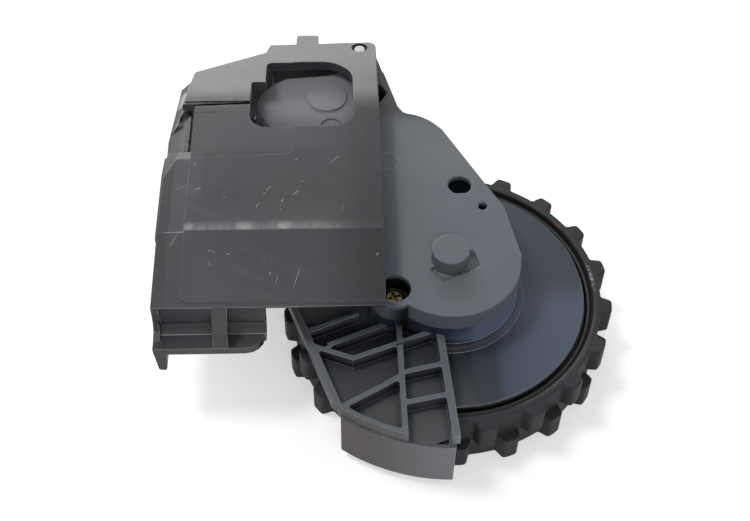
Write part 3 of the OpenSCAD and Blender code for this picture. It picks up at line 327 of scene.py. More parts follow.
def bracket_plastic():
    """Charcoal plastic of the bracket: rubbed pale along its crease and marked all over."""
    f = Finish("bracket_plastic")
    blotch = f.noise(34.0, 4.0, 0.6)
    warm = f.noise(50.0, 3.0, 0.5, shift=2.1)
    base = f.mix(linear(56, 57, 66), linear(64, 60, 64), f.step(warm, 0.35, 0.65))
    base = f.mix(base, linear(72, 75, 78), f.step(blotch, 0.45, 0.8) * 0.45)
    smear = f.noise(1.0, 3.0, 0.6, f.stretched(24, 60.0, 420.0), shift=1.9)
    base = f.mix(base, linear(80, 80, 86), f.step(smear, 0.5, 0.8) * 0.35)
    # Painted shade: darker towards the right edge, on the panel, beyond the slit, on the left
    # side wall and near the left end
    right_edge = f.rise(f.x, -29, -15) * f.fall(f.y, 47, 55)
    panel = f.rise(f.y, 4, 12) * f.fall(f.y, 23.5, 26.5) * f.rise(f.x, -53, -50)
    beyond_slit = f.fall(f.y, 40, 46) * f.rise(f.y, 38.6, 39.6)
    side_wall = f.fall(f.x, -57.6, -57) * f.fall(f.y, 36, 42)
    near_left = f.fall(f.x, -56, -50) * f.fall(f.y, -3, 1)
    dark = right_edge * 0.85
    for place, share in ((panel, 0.4), (beyond_slit, 0.8), (side_wall, 0.7), (near_left, 0.35)):
        dark = dark.larger(place * share)
    base = f.mix(base, linear(24, 24, 30), dark)
    # Rub marks above the crease, strongest in a few places
    rubbed = linear(168, 167, 166)
    above = f.y - CREASE_Y
    ragged = f.noise(420.0, 3.0, 0.6, shift=5.0) * (1.6 * MM)
    band = f.rise(above, 0.1, 0.5) * f.fall(above + ragged, 1.4, 4)
    band = band * f.rise(f.x, -54.4, -53.8) * f.step(f.x, -27 * MM, -18 * MM, 1.0, 0.12)
    strong = f.spot((-53.3, 3.6), 2.6, 0.9).larger(f.spot((-42.0, 3.2), 3.4, 0.9))
    strong = strong.larger(f.spot((-33.8, 3.6), 3.2, 0.9)).larger(0.42)
    streaks = f.noise(1.0, 3.0, 0.7, f.stretched(90, 260.0, 1500.0))
    scuff = band * strong * f.step(streaks, 0.2, 0.75, 0.35, 1.0)
    base = f.mix(base, rubbed, scuff * 0.92)
    # Fine scratches, the strokes that stand out, and specks
    fine = f.scratches(52, 0.35, 2600.0).larger(f.scratches(-38, 0.3, 3000.0))
    fine = fine.larger(f.scratches(84, 0.35, 2400.0)) * 0.3
    on_top = f.rise(f.z, 20.5, 20.9)
    marks = fine.larger(f.marks(PLATE_STROKES) * on_top * 0.6)
    marks = marks.larger(f.specks(1500.0) * 0.55)
    base = f.mix(base, rubbed, marks)
    # Edges paler from wear and from a painted highlight, a painted highlight on the rim at the
    # far left, and painted shade in the corners
    worn = f.edges(0.22) * f.step(f.noise(420.0, 3.0, 0.6, shift=1.3), 0.25, 0.7, 0.4, 1.0)
    base = f.mix(base, linear(182, 182, 186), worn * 0.75)
    painted_highlight_rim = f.fall(f.x, -57.2, -56.9) * f.rise(f.y, 42.5, 44) * f.fall(f.y, 47, 48.5)
    base = f.mix(base, linear(222, 219, 219), painted_highlight_rim * f.rise(f.z, 17.5, 20) * 0.8)
    base = f.mix(base, linear(10, 10, 12), f.hollows(2.4) * 0.9)
    f.set(Base_Color=base, Roughness=0.34 + 0.14 * blotch + 0.2 * marks + 0.25 * scuff,
          Specular_IOR_Level=0.36)
    f.bump(f.noise(5200.0, 2.0, 0.5) * 0.3 - 1.1 * marks, 0.01, 0.12)
    return f.material


def gearbox_plastic():
    """Slate plastic of the gearbox: finely textured, with painted shade in its corners."""
    f = Finish("gearbox_plastic")
    blotch = f.noise(45.0, 4.0, 0.55, shift=4.0)
    base = f.mix(linear(92, 98, 105), linear(102, 105, 107), f.step(blotch, 0.3, 0.7))
    cool = f.noise(26.0, 2.0, 0.5, shift=7.0)
    base = f.mix(base, linear(88, 97, 110), f.step(cool, 0.45, 0.7) * 0.5)
    # The disc inside the tyre, darker, with painted light towards the near right, and a painted
    # reflection on the cover's end under the plate's window
    disc = f.fall(f.z, 7.4, 8.2) * f.rise(f.z, 6.2, 6.5)
    painted_light_near_right = f.fall(f.y, -6, 4) * f.rise(f.x, 8, 12)
    base = f.mix(base, f.mix(linear(48, 54, 65), linear(72, 81, 99), painted_light_near_right), disc)
    painted_reflection_in_window = f.rise(f.y, 35, 42) * f.rise(f.z, 15, 15.4) * f.fall(f.x, -15, -14)
    base = f.mix(base, linear(136, 136, 140), painted_reflection_in_window * 0.75)
    # The fender: painted shade on its ribs' sides and on the floor between them, darkest near the
    # plate as its painted shadow, and painted light on its outer wall, lighter towards the right
    facing = f.node("ShaderNodeTexCoord", output="Normal")
    upright = f.step(abs(f.axes(facing)[2]), 0.5, 0.7, 1.0, 0.0)
    tray = f.fall(f.y, -11, -8) * f.fall(f.x, 3, 5) * f.fall(f.z, 13, 13.2)
    base = f.mix(base, linear(22, 26, 52), tray * upright * 0.9)
    floor_in_plate_shadow = f.rise(f.y, -33, -16) * f.fall(f.z, 9, 9.2)
    base = f.mix(base, f.mix(linear(72, 72, 74), linear(24, 26, 36), floor_in_plate_shadow),
                 tray * f.fall(f.z, 10.3, 10.6) * 0.85)
    outer_wall = f.rise(f.distance(), 35.9, 36.2) * upright * f.fall(f.y, -24, -20)
    base = f.mix(base, f.mix(linear(74, 68, 66), linear(120, 123, 129), f.rise(f.x, -22, 2)),
                 outer_wall)
    # Painted shade in the low corners, the screw wells and the small hole
    shaded_low_corners = f.fall(f.z, 10.7, 10.9) * f.hollows(3)
    base = f.mix(base, linear(16, 17, 26), shaded_low_corners * 0.9)
    shaded_holes = f.spot((3.4, 20.4), 4.6, 0.1).larger(f.spot((-11.3, -7.9), 4.6, 0.1))
    shaded_holes = shaded_holes.larger(f.spot((7.9, 14.3), 2.2, 0.1))
    shaded_holes = shaded_holes * f.step(f.z, COVER_TOP - 0.9 * MM, COVER_TOP - 0.3 * MM, 1.0, 0.0)
    base = f.mix(base, linear(6, 6, 9), shaded_holes * f.rise(f.z, 6.8, 7.2))
    # The plate's painted shadow on the cover beside it, painted shade on the cover's far shoulder
    # and a painted reflection on its wall over the disc
    plate_shadow = f.fall(f.x, -11.2, -9.6) * f.fall(f.y, 38, 46) * f.rise(f.z, 17, 17.3)
    base = f.mix(base, linear(66, 70, 88), plate_shadow * 0.6)
    shaded_shoulder = f.rise(f.x, -14, -13.6) * f.rise(f.y, 38, 44)
    base = f.mix(base, linear(34, 36, 40), shaded_shoulder * 0.9)
    painted_sheen_on_wall = upright * f.rise(f.x, -3, 4) * f.fall(f.z, 9, 16) * f.rise(f.z, 7.9, 8.3)
    base = f.mix(base, linear(112, 132, 172), painted_sheen_on_wall * 0.5)
    # Ring of a moulding mark beside the plate
    off_ring = abs(f.distance((-12.0, 27.6)) - 2.5 * MM)
    ring = f.fall(off_ring, 0.1, 0.3) * f.step(f.z, COVER_TOP - 0.2 * MM, COVER_TOP - 0.1 * MM)
    base = f.mix(base, linear(122, 128, 136), ring * 0.3)
    # Fine scratches, specks, and edges paler from wear and from a painted highlight that is
    # strongest near the rim
    fine = f.scratches(64, 0.25, 2800.0).larger(f.scratches(-20, 0.2, 2500.0))
    base = f.mix(base, linear(140, 144, 150), fine * 0.2)
    base = f.mix(base, linear(150, 153, 156), f.specks(2100.0) * 0.25)
    highlight_near_rim = f.rise(f.x, -4, 2) * f.fall(f.y, 0, 6) * 0.5
    base = f.mix(base, linear(172, 180, 192), f.edges(0.2) * (0.4 + highlight_near_rim))
    f.set(Base_Color=base, Roughness=0.42 + 0.12 * blotch, Specular_IOR_Level=0.34)
    f.bump(f.noise(4200.0, 2.0, 0.55) * 0.5 - 0.6 * fine + 2.0 * ring, 0.01, 0.15)
    return f.material


def tyre_rubber():
    """Soft dark rubber, dusty on its lands and polished by wear at its lip."""
    f = Finish("tyre_rubber")
    reach = f.distance()
    cloud = f.noise(150.0, 4.0, 0.6, shift=6.0)
    base = f.mix(linear(37, 37, 38), linear(50, 50, 51), f.step(cloud, 0.35, 0.7))
    dust = f.step(f.noise(700.0, 4.0, 0.65), 0.5, 0.78) * f.rise(reach, 32.6, 34.6)
    base = f.mix(base, linear(88, 86, 84), dust * 0.3)
    # Painted sheen: lighter and bluer towards the near side
    base = f.mix(base, linear(58, 61, 68), f.fall(f.y, -24, 0) * 0.35)
    # A rusty stain with a ragged border
    ragged = f.noise(700.0, 4.0, 0.7) * (1.6 * MM)
    stain = f.fall(f.distance((24.3, 17.2)) + ragged, 1.4, 3.2)
    base = f.mix(base, linear(128, 78, 46), stain * 0.9)
    base = f.mix(base, linear(84, 84, 86), f.edges(0.3) * 0.25)
    # The gap inside the lip painted black as shade, a painted glint and the polish on the lip
    base = f.mix(base, linear(9, 9, 9), f.fall(reach, 30.8, 31.3))
    shine = f.spot((31.2, 3.2), 4.6, 0.9) * f.fall(reach, 31.6, 32)
    glint = f.step(f.noise(1400.0, 3.0, 0.7), 0.42, 0.62) * shine * f.rise(reach, 31, 31.3)
    base = f.mix(base, linear(160, 165, 170), glint * 0.8)
    polish = f.fall(reach, 31.4, 32.2) * f.rise(reach, 31.1, 31.4)
    in_gap = f.fall(reach, 31, 31.3)
    f.set(Base_Color=base, Roughness=0.62 - 0.32 * polish + 0.1 * cloud + 0.3 * in_gap,
          Specular_IOR_Level=0.26)
    f.bump(f.noise(2600.0, 4.0, 0.6) * (1 - 0.7 * polish), 0.02, 0.2)
    return f.material


def hub_plastic():
    """Black plastic of the wheel under the tyre, painted darkest towards the disc as shade."""
    f = Finish("hub_plastic")
    cloud = f.noise(120.0, 3.0, 0.5)
    base = f.mix(linear(24, 24, 26), linear(34, 34, 36), cloud)
    outside = f.fall(f.z, 0, 1)
    rubbed = linear(100, 100, 102)
    base = f.mix(base, rubbed, f.edges(0.2) * 0.3 * outside)
    base = f.mix(base, rubbed, f.scratches(30, 0.5, 2600.0) * 0.3 * outside)
    # Painted shade: near black beyond its outer face, towards the disc
    base = f.mix(linear(8, 8, 9), base, outside)
    f.set(Base_Color=base, Roughness=0.42 + 0.15 * cloud, Specular_IOR_Level=0.4)
    f.bump(f.noise(4200.0, 2.0), 0.01, 0.15)
    return f.material


def board_laminate():
    """Green solder mask with paler copper tracks under it."""
    f = Finish("board_laminate")
    border = f.node("ShaderNodeTexVoronoi",
                    {"feature": "DISTANCE_TO_EDGE", "distance": "MANHATTAN"},
                    {"Vector": f.place, "Scale": 210.0})
    between_tracks = f.step(border, 0.05, 0.09)
    f.set(Base_Color=f.mix(linear(22, 82, 52), linear(14, 58, 38), between_tracks),
          Roughness=0.3)
    f.bump(between_tracks, -0.03, 0.12)
    return f.material


def moulded(name, first, second, rough):
    """Plain moulded plastic with clouds between two colours and soft worn edges."""
    f = Finish(name)
    first, second = linear(*first), linear(*second)
    cloud = f.noise(180.0, 3.0, 0.5)
    base = f.mix(first, second, f.step(cloud, 0.3, 0.7))
    base = f.mix(base, second, f.edges(0.25) * 0.5)
    f.set(Base_Color=base, Roughness=rough + 0.12 * cloud)
    f.bump(f.noise(3800.0, 2.0), 0.008, 0.15)
    return f.material


def bare_metal(name, first, second, rough, turn=0.0, grain_depth=0.004):
    """Ground or drawn metal with fine lines one way and dull patches."""
    f = Finish(name)
    first, second = linear(*first), linear(*second)
    lines = f.noise(1.0, 3.0, 0.6, f.stretched(turn, 300.0, 6500.0))
    dull = f.noise(260.0, 3.0, 0.6, shift=3.0)
    base = f.mix(first, second, f.step(lines, 0.3, 0.7))
    base = f.mix(base, second, f.step(dull, 0.5, 0.8) * 0.5)
    f.set(Base_Color=base, Metallic=1.0, Roughness=rough + 0.16 * dull + 0.08 * lines)
    f.bump(lines, grain_depth, 0.12)
    return f.material


# Two colours and a roughness
MOULDED = {
    "seal_rubber": ((24, 24, 25), (40, 40, 41), 0.5),
    "gear_plastic": ((228, 226, 216), (238, 236, 228), 0.35),
    "bush_plastic": ((206, 190, 150), (218, 204, 168), 0.4),
    "motor_plastic": ((214, 211, 200), (226, 223, 214), 0.42),
    "header_plastic": ((226, 224, 212), (236, 234, 226), 0.34),
}

# Two colours, a roughness and, where they aren't the usual ones, the grain's way and depth
BARE_METALS = {
    "steel": ((176, 176, 174), (146, 145, 143), 0.26),
    "spring_steel": ((158, 158, 160), (122, 122, 124), 0.3),
    "bearing_steel": ((190, 190, 190), (160, 160, 160), 0.22),
    "motor_steel": ((182, 180, 174), (158, 155, 148), 0.28, 90),
    "brass_screw": ((132, 116, 78), (70, 60, 40), 0.2, 30, 0.03),
    "brass_contact": ((206, 172, 108), (176, 142, 84), 0.25),
}


def make_finishes():
    """One material for each slot of the record."""
    made = {"bracket_plastic": bracket_plastic(), "gearbox_plastic": gearbox_plastic(),
            "hub_plastic": hub_plastic(), "tyre_rubber": tyre_rubber(),
            "board_laminate": board_laminate()}
    made.update((name, moulded(name, *look)) for name, look in MOULDED.items())
    made.update((name, bare_metal(name, *look)) for name, look in BARE_METALS.items())
    return made


# Width of the rounded edges of each CAD shape that is softened, in millimetres
EDGE_WIDTHS = {"bracket": 0.2, "gearbox_cover": 0.34, "gearbox_base": 0.25, "wheel_hub": 0.3,
               "motor_can": 0.5, "motor_end_cap": 0.25, "board_header": 0.12}

# Cleaning of a CAD shape: what is merged, closed up and taken as flat
MERGE_DISTANCE = 0.002 * MM
SHORTEST_EDGE = 0.03 * MM
FLAT_ANGLE = math.radians(0.5)

# An edge is rounded where it turns by CREASE_ANGLE, or by SLIGHT_ANGLE between wide faces
CREASE_ANGLE = math.radians(26)
SLIGHT_ANGLE = math.radians(4)
WIDE_FACE = 3 * MM

# Share of the room beside an edge and along its neighbours that its rounding may take
SIDE_SHARE = 0.38
CORNER_SHARE = 0.42
NARROWEST_ROUNDING = 0.025 * MM
MOST_FACES_CROSSED = 12

# Rounding is taken back near a face that it folds over, each time from a little further
FOLDED_AREA = 0.002 * MM * MM
MOST_RETREATS = 7

# Faces share a normal below BLEND_ANGLE, and below NARROW_BLEND_ANGLE if one is narrow
BLEND_ANGLE = math.radians(9)
NARROW_BLEND_ANGLE = math.radians(50)
NARROW_FACE = 1.2 * MM


def column(items, field, width=1, kind=float):
    """A field of all a mesh's items as an array, with one row for each item."""
    values = np.empty(len(items) * width, dtype=kind)
    items.foreach_get(field, values)
    return values.reshape(-1, width) if width > 1 else values


def room_beside(loop, borders, reach, outlines):
    """How far the surface runs on beside a loop's edge, up to reach, before a border.

    It walks from the edge's middle, face by face. Outlines keeps the faces' corners.
    """
    face, edge = loop.face, loop.edge
    start, end = loop.vert.co, loop.link_loop_next.vert.co
    place = (start + end) / 2
    heading = face.normal.cross(end - start).normalized()
    gone = 0.0
    for _ in range(MOST_FACES_CROSSED):
        corners = outlines.setdefault(face.index, np.array([v.co for v in face.verts]))
        off = corners - np.array(place)
        side = off @ np.array(heading.cross(face.normal))
        out = off @ np.array(heading)
        side_next, out_next = np.roll(side, -1), np.roll(out, -1)
        crossed = (side > 0) != (side_next > 0)
        share = np.where(crossed, side / np.where(crossed, side - side_next, 1), 0)
        away = np.where(crossed, out * (1 - share) + out_next * share, np.inf)
        away[away < 1e-7] = np.inf
        hit = int(np.argmin(away))
        if not np.isfinite(away[hit]):
            return gone
        gone += float(away[hit])
        edge = face.loops[hit].edge
        if gone >= reach or edge.index in borders:
            return min(gone, reach)
        place = place + heading * float(away[hit])
        face = next(other for other in edge.link_faces if other is not face)
        heading = (heading - face.normal * heading.dot(face.normal)).normalized()
    return gone


def is_crease(edge):
    """True on an edge that turns sharply, or that parts two wide faces at a smaller angle."""
    if len(edge.link_faces) != 2:
        return False
    angle = edge.calc_face_angle(0)
    if angle > CREASE_ANGLE:
        return True
    smaller = min(face.calc_area() for face in edge.link_faces)
    return angle > SLIGHT_ANGLE and smaller > WIDE_FACE * edge.calc_length()


def limit_at_corners(shape, widths):
    """Narrows edges so that their rounding fits between the corners of short neighbours."""
    for corner in shape.verts:
        meeting = [edge for edge in corner.link_edges if edge.index in widths]
        for edge in meeting:
            for other in meeting:
                if other is edge:
                    continue
                first = edge.other_vert(corner).co - corner.co
                second = other.other_vert(corner).co - corner.co
                opening = math.tan(max(0.05, first.angle(second, 0.1)) / 2)
                if len(meeting) > 2:
                    opening = min(opening, 1.0)
                most = CORNER_SHARE * opening * second.length
                if len(meeting) == 2:
                    most = min(most, CORNER_SHARE * opening * first.length)
                widths[edge.index] = min(widths[edge.index], most)


def folded_places(piece):
    """Corners of the triangles that face against their polygon once the edges are rounded."""
    mesh = piece.evaluated_get(bpy.context.evaluated_depsgraph_get()).to_mesh()
    mesh.calc_loop_triangles()
    places = column(mesh.vertices, "co", 3)
    corners = column(mesh.loop_triangles, "vertices", 3, int)
    owners = column(mesh.loop_triangles, "polygon_index", kind=int)
    facing = column(mesh.polygons, "normal", 3)[owners]
    a, b, c = (places[corners[:, i]] for i in range(3))
    area = np.einsum("ij,ij->i", np.cross(b - a, c - a), facing) / 2
    return places[np.unique(corners[area < -FOLDED_AREA])]


def relax_folds(piece):
    """Keeps edges sharp where their rounding would fold a face."""
    mesh = piece.data
    weights = mesh.attributes["bevel_weight_edge"].data
    ends = column(mesh.edges, "vertices", 2, int)
    spots = column(mesh.vertices, "co", 3)
    for attempt in range(MOST_RETREATS):
        folds = folded_places(piece)
        if not len(folds):
            return
        reach = (0.35 + 0.12 * attempt) * MM
        close = np.array([np.min(np.sum((folds - spot) ** 2, axis=1)) < reach * reach
                          for spot in spots])
        for index in np.nonzero(close[ends].any(axis=1))[0]:
            if weights[index].value > 0:
                weights[index].value = 0
                mesh.edges[index].use_edge_sharp = True
        mesh.update()


def shade_flats(mesh):
    """Normals that keep wide faces flat and blend the narrow ones between them."""
    facing = column(mesh.polygons, "normal", 3)
    area = column(mesh.polygons, "area")
    face = np.repeat(np.arange(len(mesh.polygons)), column(mesh.polygons, "loop_total", kind=int))
    corner = column(mesh.loops, "vertex_index", kind=int)
    side = column(mesh.loops, "edge_index", kind=int)
    places = column(mesh.vertices, "co", 3)
    ends = column(mesh.edges, "vertices", 2, int)
    length = np.linalg.norm(places[ends[:, 0]] - places[ends[:, 1]], axis=1)
    longest = np.zeros(len(mesh.polygons))
    np.maximum.at(longest, face, length[side])
    narrow = area < NARROW_FACE * longest
    # Sum the normals of the faces that meet at each corner and blend with its own face,
    # weighted by the square of their area in square millimetres
    order = np.argsort(corner, kind="stable")
    meeting = np.bincount(corner, minlength=len(mesh.vertices))
    first = np.concatenate(([0], np.cumsum(meeting)[:-1]))
    sums = np.zeros((len(mesh.loops), 3))
    for k in range(meeting.max()):
        mine = np.nonzero(meeting[corner] > k)[0]
        own, other = face[mine], face[order[first[corner[mine]] + k]]
        agree = np.einsum("ij,ij->i", facing[own], facing[other])
        blends = (agree > math.cos(BLEND_ANGLE)) | (
            (agree > math.cos(NARROW_BLEND_ANGLE)) & (narrow[own] | narrow[other]))
        sums[mine] += (area[other] ** 2 * blends * 1e12)[:, None] * facing[other]
    size = np.linalg.norm(sums, axis=1)
    normals = np.where(size[:, None] > 0, sums / np.maximum(size, 1e-30)[:, None], facing[face])
    mesh.shade_smooth()
    mesh.normals_split_custom_set(normals.tolist())


def plain_mesh(piece):
    """The mesh that a piece's modifiers or its wire's thickness make."""
    graph = bpy.context.evaluated_depsgraph_get()
    return bpy.data.meshes.new_from_object(piece.evaluated_get(graph))


def take_over(piece, node):
    """The piece stands for the node, on its body."""
    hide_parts(node)
    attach(piece, nodes[node]["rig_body"])


def soften(node, width, finish, rule=None):
    """Stands for a node with its sharp edges rounded where there is room.

    They are rounded by width, or by what rule makes of it for an edge.
    """
    shape = bmesh.new()
    shape.from_mesh(nodes[node].data)
    bmesh.ops.remove_doubles(shape, verts=shape.verts, dist=MERGE_DISTANCE)
    bmesh.ops.dissolve_degenerate(shape, dist=SHORTEST_EDGE, edges=shape.edges)
    bmesh.ops.dissolve_limit(shape, angle_limit=FLAT_ANGLE, verts=shape.verts, edges=shape.edges)
    for group in (shape.verts, shape.edges, shape.faces):
        group.ensure_lookup_table()
        group.index_update()
    shape.normal_update()
    sharp = {edge.index for edge in shape.edges if is_crease(edge)}
    weight = shape.edges.layers.float.new("bevel_weight_edge")
    widths, outlines = {}, {}
    for index in sharp:
        edge = shape.edges[index]
        wanted = rule(edge, width) if rule else width
        room = min(room_beside(loop, sharp, 3 * wanted + 1e-6, outlines)
                   for loop in edge.link_loops)
        widths[index] = min(wanted, SIDE_SHARE * room)
    limit_at_corners(shape, widths)
    widest = max(widths.values())
    for edge in shape.edges:
        is_rounded = edge.index in sharp and widths[edge.index] > NARROWEST_ROUNDING
        edge.smooth = edge.index not in sharp or is_rounded
        if is_rounded:
            edge[weight] = widths[edge.index] / widest
    mesh = bpy.data.meshes.new(node + "_softened")
    shape.to_mesh(mesh)
    shape.free()
    mesh.materials.append(finish)
    piece = add_object(node + "_softened", mesh)
    bevel = piece.modifiers.new("rounded edges", "BEVEL")
    bevel.limit_method = "WEIGHT"
    bevel.width = widest
    bevel.segments = 2
    bevel.use_clamp_overlap = False
    relax_folds(piece)
    finished = plain_mesh(piece)
    piece.modifiers.clear()
    piece.data = finished
    shade_flats(finished)
    take_over(piece, node)


def cover_rule(edge, width):
    """Wider rounding on the cover's top edge, widest at the motor's end."""
    start, run = 20 * MM, 20 * MM
    middle = (edge.verts[0].co + edge.verts[1].co) / 2
    if abs(middle.z - COVER_TOP) < 0.1 * MM:
        return width * (1.2 + 1.8 * min(1.0, max(0.0, (middle.y - start) / run)))
    return width


# The tyre in millimetres: its bore, its bore in the middle plane, the band and the tread
BORE_RADIUS = 30.6
MIDDLE_RADIUS = 31.6
BAND_RADIUS = 32.7
TREAD_RADIUS = 35.0
HALF_WIDTH = 6.5
LIP_RADIUS = 1.05
SIDE_MARGIN = 0.15
# A block's corners in plan, from its middle line, and their rounding
BLOCK_COUNT = 20
BLOCK_FOOT = (32.62, 2.33)
BLOCK_TOP = (34.93, 1.6)
FOOT_FILLET = 0.55
TOP_ROUNDING = 0.9
# Rounding of the blocks towards the side and the middle plane, and where it sets in
OUTER_ROUNDING = 0.42
INNER_ROUNDING = 0.2
ROUNDING_START = 32.75
ROUNDING_RUN = 0.7
# Degrees from a block's middle to the band's next point, and each row's turn and side
BAND_ANGLE = 7
ROWS = ((-7.8, 1), (1.2, -1))


def rounded_run(corners, radii, steps=5):
    """A run of plan points with its inner corners rounded by radii."""
    points = [corners[0]]
    for before, corner, after, radius in zip(corners, corners[1:], corners[2:], radii):
        into, out = (corner - before).normalized(), (after - corner).normalized()
        if not radius:
            points.append(corner)
            continue
        turn = math.atan2(into.x * out.y - into.y * out.x, into.dot(out))
        start = corner - into * radius * math.tan(abs(turn) / 2)
        centre = start + Vector((-into.y, into.x)) * math.copysign(radius, turn)
        for i in range(steps + 1):
            points.append(centre + Matrix.Rotation(turn * i / steps, 2) @ (start - centre))
    points.append(corners[-1])
    return points


def tread_outline(turn):
    """Plan of one row of tread blocks, as points round the wheel."""
    def at(radius, degrees):
        angle = math.radians(degrees)
        return Vector((math.cos(angle), math.sin(angle))) * radius

    pitch = 360 / BLOCK_COUNT
    half = [at(BAND_RADIUS, pitch / 2), at(BAND_RADIUS, BAND_ANGLE), Vector(BLOCK_FOOT),
            Vector(BLOCK_TOP), at(TREAD_RADIUS, 0)]
    whole = half + [Vector((p.x, -p.y)) for p in reversed(half[:-1])]
    whole.reverse()
    block = rounded_run(
        whole, (0, FOOT_FILLET, TOP_ROUNDING, 0, TOP_ROUNDING, FOOT_FILLET, 0))
    return [Matrix.Rotation(math.radians(turn + pitch * i), 2) @ p
            for i in range(BLOCK_COUNT) for p in block[:-1]]


def add_tread_row(shape, turn, way):
    """One row of blocks, from the tyre's middle plane to its side, with its share of the band."""
    outline = tread_outline(turn)
    count = len(outline)
    outward, height = [], []
    for i, point in enumerate(outline):
        along = (outline[(i + 1) % count] - outline[i - 1]).normalized()
        outward.append(Vector((along.y, -along.x)))
        height.append(min(1.0, max(0.0, point.length - ROUNDING_START) / ROUNDING_RUN))

    def ring(z, radius=None, inset=0.0, blocks_only=False):
        """The outline at a height, drawn in by inset, or a circle of its points."""
        if radius:
            plan = [p.normalized() * radius for p in outline]
        else:
            plan = [p - o * inset * (h if blocks_only else 1)
                    for p, o, h in zip(outline, outward, height)]
        return [shape.verts.new(Vector((p.x, p.y, way * z)) * MM) for p in plan]

    quarter = [(1 - math.cos(a), 1 - math.sin(a))
               for a in (math.radians(22.5 * i) for i in range(5))]
    rings = [ring(0, BORE_RADIUS), ring(0, MIDDLE_RADIUS)]
    rings += [ring(INNER_ROUNDING * rise, None, INNER_ROUNDING * inset, True)
              for rise, inset in quarter]
    rings += [ring(HALF_WIDTH - OUTER_ROUNDING * drop, None, OUTER_ROUNDING * inset)
              for inset, drop in quarter]
    rings += [ring(HALF_WIDTH, None, OUTER_ROUNDING + 0.2),
              ring(HALF_WIDTH, BORE_RADIUS + LIP_RADIUS + SIDE_MARGIN)]
    rings += [ring(HALF_WIDTH - LIP_RADIUS * drop, BORE_RADIUS + LIP_RADIUS * out)
              for drop, out in quarter]
    for first, second in zip(rings, rings[1:] + rings[:1]):
        for i in range(count):
            j = (i + 1) % count
            shape.faces.new((first[i], first[j], second[j], second[i]))


def make_tyre(finish):
    """The tyre: two staggered rows of blocks on a band whose lip is round."""
    shape = bmesh.new()
    for turn, way in ROWS:
        add_tread_row(shape, turn, way)
    bmesh.ops.recalc_face_normals(shape, faces=shape.faces)
    mesh = bpy.data.meshes.new("tyre_moulded")
    shape.to_mesh(mesh)
    shape.free()
    mesh.shade_smooth()
    mesh.materials.append(finish)
    piece = add_object("tyre_moulded", mesh)
    flats = piece.modifiers.new("flat faces", "WEIGHTED_NORMAL")
    flats.weight = 100
    take_over(piece, "tyre")


def make_spring(finish):
    """The suspension spring as one wire: hook, coil and hook."""
    wire_radius = 0.35 * MM
    z = 13 * MM
    near, far = Vector((-47.0 * MM, 12.0 * MM, z)), Vector((-43.9 * MM, 45.7 * MM, z))
    along = (far - near).normalized()
    up = Vector((0, 0, 1))
    aside = along.cross(up)
    length = (far - near).length
    loop, coil, lead, turns = 2.15 * MM, 2.65 * MM, 4.4 * MM, 15
    turn_steps, swell_steps = 20, 6

    def hook(post, way):
        return [post + way * loop * math.cos(a) + aside * loop * math.sin(a)
                for a in (math.radians(8 + 11 * i) for i in range(32))]

    points = list(reversed(hook(near, along)))
    points.append(near + along * (loop + 0.9 * MM))
    steps = turns * turn_steps
    for i in range(steps + 1):
        share = i / steps
        turn = 2 * math.pi * turns * share
        swell = coil * min(1.0, i / swell_steps, (steps - i) / swell_steps)
        points.append(near + along * (lead + (length - 2 * lead) * share)
                      + (aside * math.cos(turn) + up * math.sin(turn)) * swell)
    points.append(far - along * (loop + 0.9 * MM))
    points += hook(far, -along)
    curve = bpy.data.curves.new("suspension_spring_wire", "CURVE")
    curve.dimensions = "3D"
    curve.bevel_depth = wire_radius
    curve.bevel_resolution = 3
    wire = curve.splines.new("POLY")
    wire.points.add(len(points) - 1)
    for point, place in zip(wire.points, points):
        point.co = (*place, 1)
    maker = add_object("spring_maker", curve)
    mesh = plain_mesh(maker)
    bpy.data.objects.remove(maker)
    mesh.shade_smooth()
    mesh.materials.clear()
    mesh.materials.append(finish)
    piece = add_object("suspension_spring_wire", mesh)
    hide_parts("suspension_spring")
    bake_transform(piece)


def dress(finishes):
    """Gives every node of the frame the finish of its slot."""
    for node, slot in slots.items():
        piece = nodes[node]
        piece.data.materials.clear()
        piece.data.materials.append(finishes[slot])


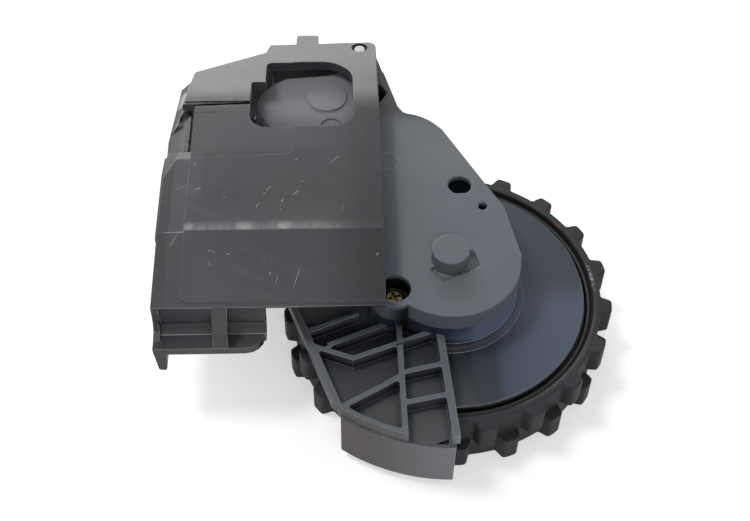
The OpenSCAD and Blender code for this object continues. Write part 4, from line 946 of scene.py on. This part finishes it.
def make_pieces(finishes):
    """Pieces that stand for nodes whose edges, tread or wire need a finer shape."""
    for node, width in EDGE_WIDTHS.items():
        rule = cover_rule if node == "gearbox_cover" else None
        soften(node, width * MM, finishes[slots[node]], rule)
    make_tyre(finishes["tyre_rubber"])
    make_spring(finishes["spring_steel"])


def make_floor():
    """A white floor that keeps the object's shadow."""
    bpy.ops.mesh.primitive_plane_add(size=8, location=(0, 0, FLOOR_LEVEL))
    floor = bpy.context.object
    floor.name = "floor"
    f = Finish("floor")
    f.set(Base_Color=(0.82, 0.82, 0.82, 1), Roughness=0.9, Specular_IOR_Level=0.1,
          Emission_Color=(1, 1, 1, 1), Emission_Strength=f.shown() * 0.5)
    floor.data.materials.append(f.material)


def make_world():
    """A world that shows white and lights the object less."""
    world = bpy.data.worlds.new("world")
    bpy.context.scene.world = world
    world.use_nodes = True
    sky = Graph(world.node_tree)
    strength = sky.node("ShaderNodeMapRange", {}, {
        "Value": sky.shown(), "To Min": 0.3, "To Max": 1.0})
    background = world.node_tree.nodes["Background"]
    sky.feed(background.inputs["Strength"], strength)
    sky.feed(background.inputs["Color"], (1, 1, 1, 1))


def softbox(name, place, size, power, colour=(1, 1, 1)):
    """A soft lamp, in metres and watts, that looks at the middle of the module."""
    middle = Vector((-0.012, 0.012, 0.01))
    data = bpy.data.lights.new(name, "AREA")
    data.shape = "RECTANGLE"
    data.size, data.size_y = size
    data.energy = power
    data.color = colour
    lamp = add_object(name, data)
    lamp.location = Vector(place)
    lamp.rotation_euler = (middle - Vector(place)).to_track_quat("-Z", "Y").to_euler()


def make_stage():
    """Floor, world and soft studio lamps."""
    make_floor()
    make_world()
    softbox("back_softbox", (-0.24, 0.95, 0.36), (0.86, 0.34), 6.6, (1, 0.98, 0.96))
    softbox("left_softbox", (-0.47, 0.12, 0.92), (0.26, 0.26), 3.6)
    softbox("front_softbox", (0.2, -0.85, 0.6), (0.7, 0.4), 1.9)


make_camera()
finishes = make_finishes()
dress(finishes)
make_pieces(finishes)
make_stage()

bpy.context.scene.view_settings.view_transform = "Standard"
